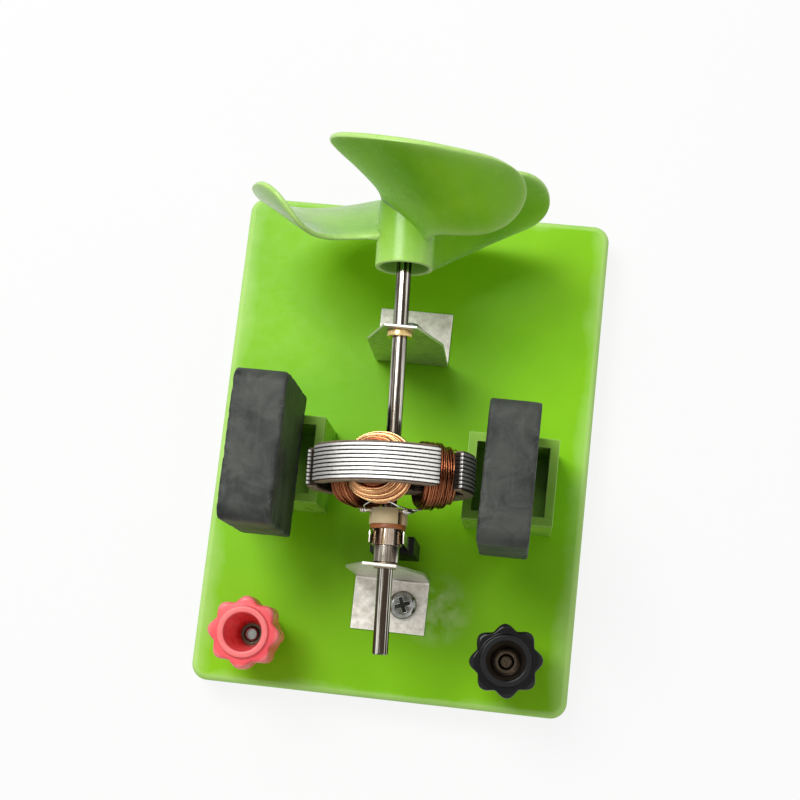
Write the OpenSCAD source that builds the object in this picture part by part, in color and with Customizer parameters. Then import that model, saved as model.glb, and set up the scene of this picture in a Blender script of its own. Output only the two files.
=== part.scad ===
// Demonstration electric motor: a three-pole rotor with windings, a commutator
// and a fan, turning between two block magnets on a moulded base.
// Frame: +X right, +Y towards the fan, +Z up. The origin is the centre of the
// base's underside. All sizes are in millimetres and all angles in degrees.

/* [Base] */
// Width of the base, side to side
base_w = 80; // [76:0.5:90]
// Length of the base, front to fan end
base_l = 107; // [104:0.5:120]
// Height of the base's top face above the table
base_h = 10; // [9:0.5:16]
// Radius of the base's four upright corners
base_corner_r = 3.5; // [2.5:0.1:8]
// Thickness of the base's top plate
plate_t = 2.5; // [1.5:0.1:3]
// Thickness of the skirt round the base
skirt_t = 2; // [1.2:0.1:2.4]
// Outer diameter of the screw bosses under the plate
boss_d = 6.4; // [5:0.1:8]
// Length of the screw bosses under the plate
boss_l = 5; // [3:0.1:6]

/* [Drive line] */
// Height of the shaft's axis above the base's top face
axis_height = 32.5; // [31:0.1:38]
// Sideways place of the shaft where it crosses the base's middle
drive_offset = 0.45; // [-1:0.05:1]
// Angle in plan between the shaft and the base's long side
drive_skew = 2.8; // [0:0.1:4]
// Diameter of the shaft
shaft_d = 3; // [2:0.1:3.4]
// Length of the shaft in front of the front bracket
shaft_nose = 16.6; // [8:0.1:20]
// Radial clearance of the shaft in its bushes
running_gap = 0.05; // [0.02:0.01:0.1]
// Clearance between the spacer collar and the front bush
end_float = 0.05; // [0.02:0.01:0.3]

/* [Brackets] */
// Width of each bracket
bracket_w = 15.8; // [12:0.1:20]
// Thickness of the bracket sheet
bracket_t = 0.6; // [0.5:0.05:1.4]
// Distance between the two brackets' facing sides
bracket_span = 46.25; // [44:0.05:52]
// Length of each bracket's foot
bracket_foot = 11.8; // [10.5:0.1:14]
// Inside radius of the bend
bracket_bend_r = 0.6; // [0.3:0.05:1.2]
// Drop from the shaft's axis to the shoulders where the plate narrows
shoulder_drop = 10.7; // [6:0.1:14]
// Rise of the bracket's top edge above the shaft's axis
head_rise = 3.8; // [3.4:0.1:6]
// Width of the bracket's top edge
head_w = 6.6; // [6:0.1:10]
// Sideways shift of the front bracket from the shaft
front_bracket_shift = -0.9; // [-1:0.1:1]
// Sideways shift of the rear bracket from the shaft
rear_bracket_shift = 0.3; // [-1:0.1:1]
// Distance from a bracket's rotor side to its foot screw
foot_screw_reach = 5.9; // [5:0.1:7]
// Sideways place of the front foot screw from the shaft
front_screw_shift = 1.9; // [1:0.1:3]
// Sideways place of the rear foot screw from the shaft
rear_screw_shift = -0.5; // [-1:0.1:4.5]

/* [Bushes] */
// Outside diameter of a bush's barrel
bush_d = 4.4; // [4.2:0.1:5]
// Diameter of a bush's flange
bush_flange_d = 5.15; // [5.05:0.05:6.5]
// Thickness of the rear bush's flange
rear_flange_t = 1.3; // [0.6:0.1:2]
// Thickness of the front bush's flange
front_flange_t = 0.35; // [0.3:0.05:1]
// Length of a bush's barrel beyond the far side of its bracket
bush_lip = 0.2; // [0.2:0.05:0.6]

/* [Screws] */
// Diameter of the bracket screws' heads
pan_head_d = 6; // [5:0.1:6.4]
// Height of the bracket screws' heads
pan_head_h = 2; // [1.4:0.1:2.6]
// Diameter of the bracket screws' shanks
pan_shank_d = 2.9; // [2.4:0.1:3.2]
// Length of the bracket screws' shanks
pan_shank_l = 6.5; // [5:0.1:7]
// Diameter of the heads of the screws under the plate
small_head_d = 4.6; // [3.6:0.1:5]
// Height of the heads of the screws under the plate
small_head_h = 1.6; // [1.2:0.1:2.2]
// Diameter of the shanks of the screws under the plate
small_shank_d = 2.2; // [1.8:0.1:2.6]
// Length of the screws under the plate inside the piece they hold
small_grip_l = 3; // [2:0.1:3.4]
// Radial clearance of a screw in a plain hole
screw_gap = 0.15; // [0.1:0.05:0.3]
// Width of the arms of a cross recess
recess_w = 0.8; // [0.5:0.05:1.1]
// Length of the arms of a bracket screw's recess
pan_recess_l = 3.3; // [2:0.1:4]
// Depth of a bracket screw's recess
pan_recess_h = 1.2; // [0.6:0.1:1.3]
// Length of the arms of the recess in a screw under the plate
small_recess_l = 2.8; // [1.6:0.1:3.2]
// Depth of the recess in a screw under the plate
small_recess_h = 0.8; // [0.4:0.1:1]

/* [Rotor] */
// Place of the rotor's middle along the shaft
rotor_y = -9.53; // [-11:0.01:-8]
// Radius of the rotor over its pole shoes
rotor_r = 16.5; // [15:0.1:17.5]
// Lean of the first pole from upright
pole_turn = 11.35; // [0:0.05:60]
// Thickness of one lamination
lamination_t = 0.72; // [0.5:0.01:0.76]
// Spacing of the nine laminations
lamination_pitch = 0.77; // [0.77:0.01:0.9]
// Radius of the laminations' middle
core_r = 5; // [4.6:0.1:5.4]
// Width of a pole's neck
neck_w = 5.2; // [4.4:0.1:5.8]
// Thickness of a pole shoe
shoe_t = 2.2; // [1.6:0.1:2.6]
// Width of the slot between two pole shoes
pole_gap = 5.9; // [4:0.1:7]
// Thickness of the insulating sheet on each end of the stack
sheet_t = 0.35; // [0.2:0.05:0.6]
// How far the sheets stay inside the laminations' outer edge
sheet_inset = 0.3; // [0.1:0.05:0.6]

/* [Windings] */
// Diameter of the wire as it is drawn
wire_d = 0.5; // [0.4:0.01:0.54]
// Thickness of a winding beside the neck, to the middle of its outer wire
winding_side = 3.1; // [2.6:0.1:3.3]
// Thickness of a winding past the insulating sheet, to the middle of its outer wire
winding_end = 2.66; // [2.2:0.02:3]
// Clearance between the outer turns and the laminations
winding_gap = 0.2; // [0.15:0.01:0.4]
// Clearance between the outer turns and the plain core of the winding
turn_seat = 0.03; // [0.02:0.01:0.1]

/* [Commutator] */
// Radius of the commutator
commutator_r = 3; // [2.8:0.05:3.3]
// Length of the commutator that the brushes touch
commutator_l = 3.15; // [3:0.05:4]
// Thickness of a commutator segment
segment_t = 0.5; // [0.3:0.05:0.6]
// Width of the slot between two segments
segment_gap = 0.5; // [0.3:0.05:0.8]
// Width of a segment's tab
tab_w = 1.6; // [1.5:0.05:2]
// Thickness of a segment's tab
tab_t = 0.4; // [0.3:0.05:0.5]
// Rise of a tab's end above the hub
tab_rise = 2.3; // [2:0.1:2.8]
// Rise of the wires on a tab above the hub
wire_rise = 1.5; // [1.2:0.1:1.6]
// Radial thickness of the insulating ring
ring_wall = 0.5; // [0.3:0.05:0.7]
// Width of the insulating ring along the shaft
ring_l = 0.9; // [0.6:0.05:1.2]
// Radius of the hub's flange
hub_r = 3.7; // [3.55:0.05:4]
// Length of the hub's flange
hub_l = 3.06; // [2.4:0.02:3.6]
// Clearance between the hub and the windings
hub_gap = 0.55; // [0.3:0.05:1]
// Distance from the hub's rear face to the tabs
tab_back = 0.4; // [0.2:0.05:0.8]
// Clearance of a tab in its slot in the hub
tab_gap = 0.1; // [0.05:0.05:0.2]
// Diameter of the spacer collar
collar_d = 5; // [4.4:0.1:5.8]
// Length of the spacer collar
collar_l = 3.29; // [2.8:0.01:4]

/* [Brushes] */
// Thickness of a brush strip
brush_t = 0.3; // [0.2:0.05:0.5]
// Width of a brush strip along the shaft
brush_w = 2.4; // [1.6:0.1:2.8]
// Clearance between a brush and the commutator
brush_gap = 0.15; // [0.1:0.01:0.3]
// Rise of the brushes above the shaft's axis
brush_rise = 2; // [1:0.1:4]
// Length of a brush's tail below the base's top plate
brush_tail = 3; // [2.4:0.1:4]
// Clearance of a brush in its slots
brush_slot_gap = 0.05; // [0.03:0.01:0.1]
// Height of the brush block
block_h = 19.7; // [14:0.1:22]
// Length of the brush block along the shaft
block_l = 3.4; // [3.3:0.1:5]
// Thickness of the brush block outside each brush
block_wall = 1; // [0.8:0.05:2]
// How far the brush block's middle lies in front of the brushes' middle
block_shift = 0.1; // [0:0.05:0.3]

/* [Magnets] */
// Clearance between a centred rotor and each magnet
air_gap = 2.6; // [2.4:0.05:3.5]
// Thickness of the right magnet
magnet_t = 9.8; // [8:0.1:11]
// Length of the right magnet
magnet_l = 27.5; // [20:0.1:32]
// How much thicker the left magnet is than the right one
left_magnet_extra_t = 0.6; // [0:0.1:1]
// How much longer the left magnet is than the right one
left_magnet_extra_l = 1.7; // [0:0.1:2]
// How much further back the left magnet's middle lies than the right one's
left_magnet_shift = 0.35; // [0:0.05:0.5]
// Height of a magnet
magnet_h = 28.5; // [22:0.1:32]
// Radius of a magnet's two top ends
magnet_round = 3; // [1:0.1:6]
// How far the magnets' middle lies behind the rotor's middle
magnet_shift = 0.5; // [-1:0.1:2]
// Height of a magnet holder
holder_h = 20; // [16:0.1:22]
// Width of a magnet holder
holder_w = 18.4; // [17:0.1:20]
// Length of a magnet holder
holder_l = 17.8; // [15:0.1:20]
// Thickness of a magnet holder's walls
holder_wall = 1.8; // [1.2:0.1:2.4]
// Thickness of a magnet holder's floor
holder_floor = 4; // [3.6:0.1:6]
// How far the holders' middle lies behind the rotor's middle
holder_shift = 2.7; // [0:0.1:4]
// Distance between the two screws in a holder
holder_screw_span = 9; // [8:0.1:10]

/* [Fan] */
// Distance from the rear bracket to the fan's hub
fan_standoff = 12.25; // [11.5:0.05:12.5]
// Clearance between the blades' tips and the base
fan_clearance = 1; // [0.8:0.1:3]
// Diameter of the fan's hub
fan_hub_d = 11.6; // [11.2:0.1:13]
// Length of the fan's hub
fan_hub_l = 14.3; // [13.5:0.1:15]
// Thickness of the wall round the hub's open front
fan_hub_wall = 0.9; // [0.7:0.1:1.2]
// Depth of the hub's open front
fan_cup = 6; // [4:0.1:7]
// Depth of the shaft in the hub
fan_grip = 12.5; // [9:0.1:12.8]
// Thickness of a blade
blade_t = 1.1; // [0.8:0.05:1.4]

/* [Binding posts] */
// Distance from the base's side to a post
post_inset_x = 13.4; // [12:0.1:15]
// Distance from the base's front edge to a post
post_inset_y = 10.5; // [10:0.1:14]
// Diameter of a post's stud
stud_d = 3; // [2.6:0.1:3.2]
// Radial clearance between a stud and what turns or slides on it
stud_gap = 0.05; // [0.03:0.01:0.1]
// Width across the flats of a post's nuts
nut_w = 5.5; // [5:0.1:6]
// Height of a post's nuts
nut_h = 2.4; // [2:0.1:2.6]
// Diameter of a clamp washer
clamp_d = 9.2; // [8:0.1:10]
// Thickness of a clamp washer
clamp_t = 0.6; // [0.4:0.05:1]
// Clearance above and below a clamp washer
clamp_gap = 0.05; // [0.03:0.01:0.1]
// Diameter of a cap's skirt
skirt_d = 11.5; // [10:0.1:12]
// Height of a cap's skirt
skirt_h = 6.9; // [5.5:0.1:8]
// Height of a cap's lobed part
lobe_h = 8.7; // [7:0.1:10]
// Number of lobes on a cap
lobe_count = 8; // [6:1:9]
// Diameter of a cap over its lobes
lobe_over_d = 14.8; // [14.2:0.1:15.5]
// Diameter of one lobe
lobe_d = 3.5; // [3:0.1:3.9]
// Diameter of a cap between its lobes
lobe_root_d = 12.2; // [11.8:0.1:13]
// Diameter of the raised ring on a cap
ring_d = 10.4; // [9.4:0.1:11]
// Height of the raised ring on a cap
ring_h = 0.8; // [0.4:0.1:1.4]
// Diameter of a cap's mouth
mouth_d = 7.8; // [7.2:0.1:8.6]
// Diameter of the bottom of a cap's socket
socket_d = 4.4; // [3.8:0.1:4.8]
// Diameter of the threaded insert in a cap
insert_d = 5.2; // [5:0.1:6]
// Length of the threaded insert in a cap
insert_l = 3.5; // [3:0.1:4.5]
// Rise of a stud's end above the insert
stud_rise = 1; // [0.5:0.1:2]
// Turn of the black cap's lobes against the red cap's
black_cap_turn = 7; // [0:1:22]
// Thickness of the washer under the plate
washer_t = 0.5; // [0.3:0.05:0.8]
// Diameter of the washer under the plate
washer_d = 7; // [6.4:0.1:8]
// Diameter of a solder lug's ring
lug_d = 6.4; // [5.6:0.1:7.4]
// Thickness of a solder lug
lug_t = 0.4; // [0.3:0.05:0.6]
// Distance from a stud to the end of its solder lug
lug_l = 8; // [6:0.1:9]
// Width of a solder lug's tail
lug_w = 2.2; // [1.6:0.1:3]
// Length of a stud past its lower nut
stud_end = 0.8; // [0.4:0.1:1]
// Diameter of the leads under the plate
lead_d = 1.4; // [1:0.1:1.6]

/* [Hidden] */
$fn = 96;

// Colours
green = "#7cc41c";
pale_green = "#b9dc9a";
steel = "#b4b0a8";
brass = "#c9a04a";
copper = "#c4733c";
red = "#ee4f68";
black = "#1d1d1f";

// Cuts run past the faces they open by this much
cut = 1;

// Rotor
pole_count = 3;
pole_step = 360 / pole_count;
lamination_count = 9;
stack_half = ((lamination_count - 1) * lamination_pitch + lamination_t) / 2;
stack_front_y = rotor_y - stack_half;
shoe_in_r = rotor_r - shoe_t;

// Windings, in a frame whose Z runs out along the pole from the shaft's axis
wire_r = wire_d / 2;
loop_half_w = neck_w / 2 + winding_side;
loop_half_l = stack_half + sheet_t + winding_end;
loop_first_z = core_r + winding_gap + wire_r;
loop_last_z = sqrt(pow(shoe_in_r - winding_gap - wire_r, 2) - pow(loop_half_w, 2));
full_turns = 7;
first_angle = -45;
last_angle = 180 + 360 * full_turns;
turn_pitch = (loop_last_z - loop_first_z) * 360 / (last_angle - first_angle);
rings_per_turn = 24;
wire_sides = 6;
wire_straight = 1.2 * wire_d;
neck_gap = 0.05;

// Places along the shaft, from the rotor's middle to the front
hub_rear_y = rotor_y - loop_half_l - wire_r - hub_gap;
tab_rear_y = hub_rear_y - tab_back;
hub_front_y = hub_rear_y - hub_l;
commutator_rear_y = hub_front_y - ring_l;
commutator_front_y = commutator_rear_y - commutator_l;
collar_front_y = commutator_front_y - collar_l;
front_plate_y = collar_front_y - end_float - front_flange_t;
shaft_front_y = front_plate_y - bracket_t - shaft_nose;
brush_y = (commutator_rear_y + commutator_front_y) / 2;

// Places along the shaft, from the rear bracket to the back
rear_plate_y = front_plate_y + bracket_span;
fan_front_y = rear_plate_y + bracket_t + fan_standoff;
shaft_rear_y = fan_front_y + fan_grip;

// Commutator
segment_in_r = commutator_r - segment_t;
slot_angle = 2 * asin(segment_gap / 2 / commutator_r);
wire_edge = 0.15;
wire_spread = (tab_w - wire_d) / 2 - wire_edge;
ring_lap = 0.5;

// Brushes
brush_x = commutator_r + brush_gap;
block_half_w = brush_x + brush_t + block_wall;

// Distance between a bush's flange and the rotor side of its bracket, at the shaft
flange_seat = bush_flange_d / 2 * tan(drive_skew);

// Magnets
magnet_x = rotor_r + air_gap + magnet_t / 2;
magnet_y = rotor_y + magnet_shift;
left_magnet_t = magnet_t + left_magnet_extra_t;
left_magnet_l = magnet_l + left_magnet_extra_l;
holder_y = rotor_y + holder_shift;

// Heights
plate_under_z = base_h - plate_t;
axis_z = base_h + axis_height;
magnet_z = base_h + holder_h;

// Binding posts, with the heights counted from the base's top face
post_x = base_w / 2 - post_inset_x;
post_y = -(base_l / 2 - post_inset_y);
clamp_z = nut_h + clamp_gap;
cap_z = clamp_z + clamp_t + clamp_gap;
insert_recess = 0.4;
insert_z = cap_z + insert_recess;
socket_z = insert_z + insert_l;
cap_top_z = cap_z + skirt_h + lobe_h + ring_h;
stud_low_z = -plate_t - washer_t - lug_t - nut_h - stud_end;
mouth_lip = 0.8;

// Fan: the blade's middle surface is a formula of the share of the way out, rho,
// and of the share of the half width, v. A share named here is one of the fan's radius.
blade_root_r = 5;
fan_r = axis_height - fan_clearance;
blade_mid_l = 10.05;
blade_width_share = [0.178, 0.308, 0.616];
blade_sweep_share = [0.219, -0.6];
blade_rake_share = [0.108, 0.095];
blade_camber_share = [-0.158, 0.315];
blade_pitch_ratio = [0.85, -0.69];
blade_tip_power = 4.5;
blade_count = 3;
blade_steps_out = 13;
blade_steps_across = 12;
blade_first_rho = 0.003;
blade_last_rho = 0.997;
blade_crowding = 1.6;
nudge = 0.002;
dome_drop = 1.3;

// Leads under the plate, between the lug or brush that each end meets
lead_air = 0.2;
lead_z = plate_under_z - lead_d / 2 - lead_air;
lead_run = 1.5 * lead_d;
lead_steps = 4;
lead_sides = 8;
lead_share = [[0, 0], [0.02, 0.18], [0.26, 0.65], [0.7, 0.95], [1, 1]];

// ---------------------------------------------------------------- helpers

function unit(v) = v / norm(v);

// The part of v that is square to direction d, as a unit vector
function square_to(v, d) = unit(v - (v * d) * d);

// Direction of a route at point i
function heading(route, i) =
    let (before = route[max(i - 1, 0)], after = route[min(i + 1, len(route) - 1)])
    unit(unit(after - route[i] + (i == len(route) - 1 ? route[i] - before : [0, 0, 0]))
        + unit(route[i] - before + (i == 0 ? after - route[i] : [0, 0, 0])));

// A side direction carried along the route without twist
function side_directions(route, first) = [
    for (i = 0, s = square_to(first, heading(route, 0)); i < len(route);
        i = i + 1, s = i < len(route) ? square_to(s, heading(route, i)) : s) s
];

// Points of a tube's rings along a route
function ring_points(route, r, sides, first) =
    let (side = side_directions(route, first))
    [for (i = [0:len(route) - 1])
        let (d = heading(route, i), s = side[i], q = cross(d, s))
        for (k = [0:sides - 1])
            route[i] + r * (cos(360 * k / sides) * s + sin(360 * k / sides) * q)];

// A tube of radius r along a route, as one closed solid of triangles
module tube(route, r, sides, first) {
    last = (len(route) - 1) * sides;
    polyhedron(
        points = ring_points(route, r, sides, first),
        faces = concat(
            [for (i = [0:len(route) - 2], k = [0:sides - 1])
                let (a = i * sides + k, b = i * sides + (k + 1) % sides) [a, a + sides, b]],
            [for (i = [0:len(route) - 2], k = [0:sides - 1])
                let (a = i * sides + k, b = i * sides + (k + 1) % sides) [b, a + sides, b + sides]],
            [for (k = [1:sides - 2]) [0, k, k + 1]],
            [for (k = [1:sides - 2]) [last, last + k + 1, last + k]]
        )
    );
}

// A smooth route through a few points
function smooth_point(p, i, t) =
    let (a = p[max(i - 1, 0)], b = p[i], c = p[i + 1], d = p[min(i + 2, len(p) - 1)])
    (2 * b + (c - a) * t + (2 * a - 5 * b + 4 * c - d) * t * t
        + (3 * b - a - 3 * c + d) * t * t * t) / 2;

function smooth_route(p, steps) = concat(
    [for (i = [0:len(p) - 2], k = [0:steps - 1]) smooth_point(p, i, k / steps)],
    [p[len(p) - 1]]
);

// A flat rounded rectangle
module rounded_rectangle(w, l, r) {
    square([w - 2 * r, l], center = true);
    square([w, l - 2 * r], center = true);
    for (sx = [-1, 1], sy = [-1, 1]) {
        translate([sx * (w / 2 - r), sy * (l / 2 - r)])
            circle(r = r);
    }
}

// Frame of the shaft: Y along the axis, with Z counted from the axis
module drive_line() {
    translate([drive_offset, 0, axis_z])
        rotate([0, 0, drive_skew])
            children();
}

// Frame of the shaft, with Z counted from the base's top face
module drive_floor() {
    translate([drive_offset, 0, base_h])
        rotate([0, 0, drive_skew])
            children();
}

// A flat shape, drawn as seen from the front, made solid along the shaft
module along_shaft(front_y, length) {
    translate([0, front_y + length, 0])
        rotate([90, 0, 0])
            linear_extrude(height = length)
                children();
}

// A ring round the shaft
module shaft_ring(front_y, length, outer_r, inner_r) {
    along_shaft(front_y, length)
        difference() {
            circle(r = outer_r);
            circle(r = inner_r);
        }
}

// Frame of a bracket, square to the base, with its rotor side at y = 0.
// Z is counted from the base's top face.
module at_front_bracket() {
    drive_floor()
        translate([0, front_plate_y, 0])
            rotate([0, 0, -drive_skew])
                children();
}

module at_rear_bracket() {
    drive_floor()
        translate([0, rear_plate_y, 0])
            rotate([0, 0, -drive_skew])
                children();
}

module at_bracket_screws() {
    at_front_bracket()
        translate([front_screw_shift, -foot_screw_reach, 0])
            children();
    at_rear_bracket()
        translate([rear_screw_shift, foot_screw_reach, 0])
            children();
}

module at_holder_screws() {
    for (side = [-1, 1], end = [-1, 1]) {
        translate([side * magnet_x, holder_y + end * holder_screw_span / 2, plate_under_z])
            children();
    }
}

module at_brush_screw() {
    drive_floor()
        translate([0, brush_y - block_shift, -plate_t])
            children();
}

// Frame of a post, with Z counted from the base's top face
module at_post(side) {
    translate([side * post_x, post_y, base_h])
        children();
}

module at_posts() {
    for (side = [-1, 1]) {
        at_post(side)
            children();
    }
}

// Two crossed slots, cut down from z = 0
module cross_recess(reach, depth) {
    for (turn = [0, 90]) {
        rotate([0, 0, turn])
            translate([-reach / 2, -recess_w / 2, -depth])
                cube([reach, recess_w, depth + cut]);
    }
}

// A small screw that goes up into a piece on the plate
module under_screw() {
    difference() {
        union() {
            translate([0, 0, -small_head_h])
                cylinder(h = small_head_h, d = small_head_d);
            cylinder(h = plate_t + small_grip_l, d = small_shank_d);
        }
        translate([0, 0, -small_head_h])
            mirror([0, 0, 1])
                cross_recess(small_recess_l, small_recess_h);
    }
}

// ---------------------------------------------------------------- base

module base_plate() {
    color(green)
        difference() {
            union() {
                difference() {
                    linear_extrude(height = base_h)
                        rounded_rectangle(base_w, base_l, base_corner_r);
                    translate([0, 0, -cut])
                        linear_extrude(height = plate_under_z + cut)
                            rounded_rectangle(base_w - 2 * skirt_t, base_l - 2 * skirt_t,
                                base_corner_r - skirt_t);
                }
                at_bracket_screws()
                    translate([0, 0, -plate_t - boss_l])
                        cylinder(h = boss_l + plate_t / 2, d = boss_d);
            }
            at_bracket_screws()
                translate([0, 0, -plate_t - boss_l - cut])
                    cylinder(h = boss_l + plate_t + 2 * cut, d = pan_shank_d);
            at_holder_screws()
                translate([0, 0, -cut])
                    cylinder(h = plate_t + 2 * cut, d = small_shank_d + 2 * screw_gap);
            at_brush_screw()
                translate([0, 0, -cut])
                    cylinder(h = plate_t + 2 * cut, d = small_shank_d + 2 * screw_gap);
            drive_floor()
                brush_slots(-plate_t - cut, cut);
            at_posts()
                translate([0, 0, -plate_t - cut])
                    cylinder(h = plate_t + 2 * cut, d = stud_d);
        }
}

// The slots that hold the two brushes, from one height to another
module brush_slots(low, high) {
    for (side = [-1, 1]) {
        translate([
            side * (brush_x + brush_t / 2) - brush_t / 2 - brush_slot_gap,
            brush_y - brush_w / 2 - brush_slot_gap,
            low
        ])
            cube([brush_t + 2 * brush_slot_gap, brush_w + 2 * brush_slot_gap, high - low]);
    }
}

// ---------------------------------------------------------------- magnets

module magnet_holder(side) {
    color(pale_green)
        difference() {
            translate([side * magnet_x - holder_w / 2, holder_y - holder_l / 2, base_h])
                cube([holder_w, holder_l, holder_h]);
            translate([
                side * magnet_x - holder_w / 2 + holder_wall,
                holder_y - holder_l / 2 + holder_wall,
                base_h + holder_floor
            ])
                cube([
                    holder_w - 2 * holder_wall,
                    holder_l - 2 * holder_wall,
                    holder_h - holder_floor + cut
                ]);
            for (end = [-1, 1]) {
                translate([side * magnet_x, holder_y + end * holder_screw_span / 2, base_h - cut])
                    cylinder(h = small_grip_l + cut, d = small_shank_d);
            }
        }
}

module holder_screws() {
    color(steel)
        at_holder_screws()
            under_screw();
}

// A magnet whose lower left edge runs along Y from y = 0, with both top ends rounded
module magnet(length, thickness) {
    color(black)
        rotate([90, 0, 90])
            linear_extrude(height = thickness) {
                translate([-length / 2, 0])
                    square([length, magnet_h - magnet_round]);
                translate([-length / 2 + magnet_round, 0])
                    square([length - 2 * magnet_round, magnet_h]);
                for (end = [-1, 1]) {
                    translate([end * (length / 2 - magnet_round), magnet_h - magnet_round])
                        circle(r = magnet_round);
                }
            }
}

module left_magnet() {
    translate([-rotor_r - air_gap - left_magnet_t, magnet_y + left_magnet_shift, magnet_z])
        magnet(left_magnet_l, left_magnet_t);
}

module right_magnet() {
    translate([rotor_r + air_gap, magnet_y, magnet_z])
        magnet(magnet_l, magnet_t);
}

// ---------------------------------------------------------------- brackets

// A bracket whose rotor side is at y = 0 and whose foot runs towards +Y.
// The hole for its bush leans sideways with the shaft.
module bracket(shift, screw_shift, lean) {
    bend_out_r = bracket_bend_r + bracket_t;
    difference() {
        translate([shift, 0, 0])
            union() {
                along_shaft(0, bracket_t)
                    polygon([
                        [-bracket_w / 2, bend_out_r],
                        [bracket_w / 2, bend_out_r],
                        [bracket_w / 2, axis_height - shoulder_drop],
                        [head_w / 2, axis_height + head_rise],
                        [-head_w / 2, axis_height + head_rise],
                        [-bracket_w / 2, axis_height - shoulder_drop]
                    ]);
                translate([-bracket_w / 2, bend_out_r, bend_out_r])
                    rotate([0, 90, 0])
                        rotate([0, 0, -90])
                            rotate_extrude(angle = 90)
                                translate([bracket_bend_r, 0])
                                    square([bracket_t, bracket_w]);
                translate([-bracket_w / 2, bend_out_r, 0])
                    cube([bracket_w, bracket_foot - bend_out_r, bracket_t]);
            }
        translate([0, 0, axis_height])
            rotate([-90, 0, lean])
                translate([0, 0, -flange_seat - cut])
                    cylinder(h = bracket_t + 2 * (flange_seat + cut), d = bush_d);
        translate([screw_shift, foot_screw_reach, -cut])
            cylinder(h = bracket_t + 2 * cut, d = pan_shank_d + 2 * screw_gap);
    }
}

module front_bracket() {
    color(steel)
        at_front_bracket()
            mirror([0, 1, 0])
                bracket(front_bracket_shift, front_screw_shift, -drive_skew);
}

module rear_bracket() {
    color(steel)
        at_rear_bracket()
            bracket(rear_bracket_shift, rear_screw_shift, drive_skew);
}

// A bush whose bracket stands at y = 0 and whose barrel runs towards +Y.
// Its flange stays clear of the bracket, which isn't quite square to the shaft.
module bush(flange_t) {
    rotate([-90, 0, 0])
        difference() {
            union() {
                translate([0, 0, -flange_t])
                    cylinder(h = flange_t - flange_seat, d = bush_flange_d);
                translate([0, 0, -flange_t])
                    cylinder(h = flange_t + bracket_t + bush_lip, d = bush_d);
            }
            translate([0, 0, -flange_t - cut])
                cylinder(h = flange_t + bracket_t + bush_lip + 2 * cut, r = shaft_d / 2 + running_gap);
        }
}

module front_bush() {
    color(brass)
        drive_line()
            translate([0, front_plate_y, 0])
                mirror([0, 1, 0])
                    bush(front_flange_t);
}

module rear_bush() {
    color(brass)
        drive_line()
            translate([0, rear_plate_y, 0])
                bush(rear_flange_t);
}

// A domed screw with a cross recess, down through a foot into the base
module pan_screw() {
    dome_steps = 6;
    dome_h = pan_head_h / 2;
    difference() {
        union() {
            rotate_extrude()
                polygon(concat(
                    [[0, 0], [pan_head_d / 2, 0]],
                    [for (i = [0:dome_steps])
                        let (a = 90 * i / dome_steps)
                        [
                            pan_head_d / 2 - dome_h * (1 - cos(a)),
                            pan_head_h - dome_h * (1 - sin(a))
                        ]],
                    [[0, pan_head_h]]
                ));
            translate([0, 0, -pan_shank_l])
                cylinder(h = pan_shank_l + dome_h / 2, d = pan_shank_d);
        }
        translate([0, 0, pan_head_h])
            cross_recess(pan_recess_l, pan_recess_h);
    }
}

module bracket_screws() {
    color(steel)
        at_bracket_screws()
            translate([0, 0, bracket_t])
                pan_screw();
}

// ---------------------------------------------------------------- rotor

module shaft() {
    color(steel)
        drive_line()
            translate([0, shaft_front_y, 0])
                rotate([-90, 0, 0])
                    cylinder(h = shaft_rear_y - shaft_front_y, d = shaft_d);
}

module spacer_collar() {
    color(steel)
        drive_line()
            shaft_ring(collar_front_y, collar_l, collar_d / 2, shaft_d / 2);
}

// Frame of a pole: Z runs out along the pole, and Y is counted from the rotor's middle
module at_pole(index) {
    drive_line()
        translate([0, rotor_y, 0])
            rotate([0, index * pole_step - pole_turn, 0])
                children();
}

// Frame of a commutator segment, which lies half way between two poles
module at_segment(index) {
    drive_line()
        rotate([0, (index + 0.5) * pole_step - pole_turn, 0])
            children();
}

module commutator_segment(index) {
    span = pole_step - slot_angle;
    color(steel)
        at_segment(index) {
            translate([0, commutator_front_y, 0])
                rotate([-90, 0, 0])
                    rotate([0, 0, -90 - span / 2])
                        rotate_extrude(angle = span)
                            translate([segment_in_r, 0])
                                square([segment_t, hub_front_y - commutator_front_y]);
            translate([-tab_w / 2, hub_front_y - ring_lap, segment_in_r])
                cube([tab_w, tab_rear_y - hub_front_y + ring_lap, tab_t]);
            translate([-tab_w / 2, tab_rear_y - tab_t, segment_in_r])
                cube([tab_w, tab_t, hub_r + tab_rise - segment_in_r]);
        }
}

module insulating_ring() {
    color("#b8642c")
        drive_line()
            shaft_ring(commutator_rear_y, ring_l, commutator_r + ring_wall, commutator_r);
}

module commutator_hub() {
    color("#e8dcb8")
        difference() {
            drive_line()
                union() {
                    shaft_ring(commutator_front_y, hub_rear_y - commutator_front_y,
                        segment_in_r, shaft_d / 2);
                    shaft_ring(hub_front_y, hub_l, hub_r, shaft_d / 2);
                }
            for (index = [0:pole_count - 1]) {
                at_segment(index)
                    translate([-tab_w / 2 - tab_gap, hub_front_y - cut, segment_in_r])
                        cube([tab_w + 2 * tab_gap, hub_l + 2 * cut, hub_r]);
            }
        }
}

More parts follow.
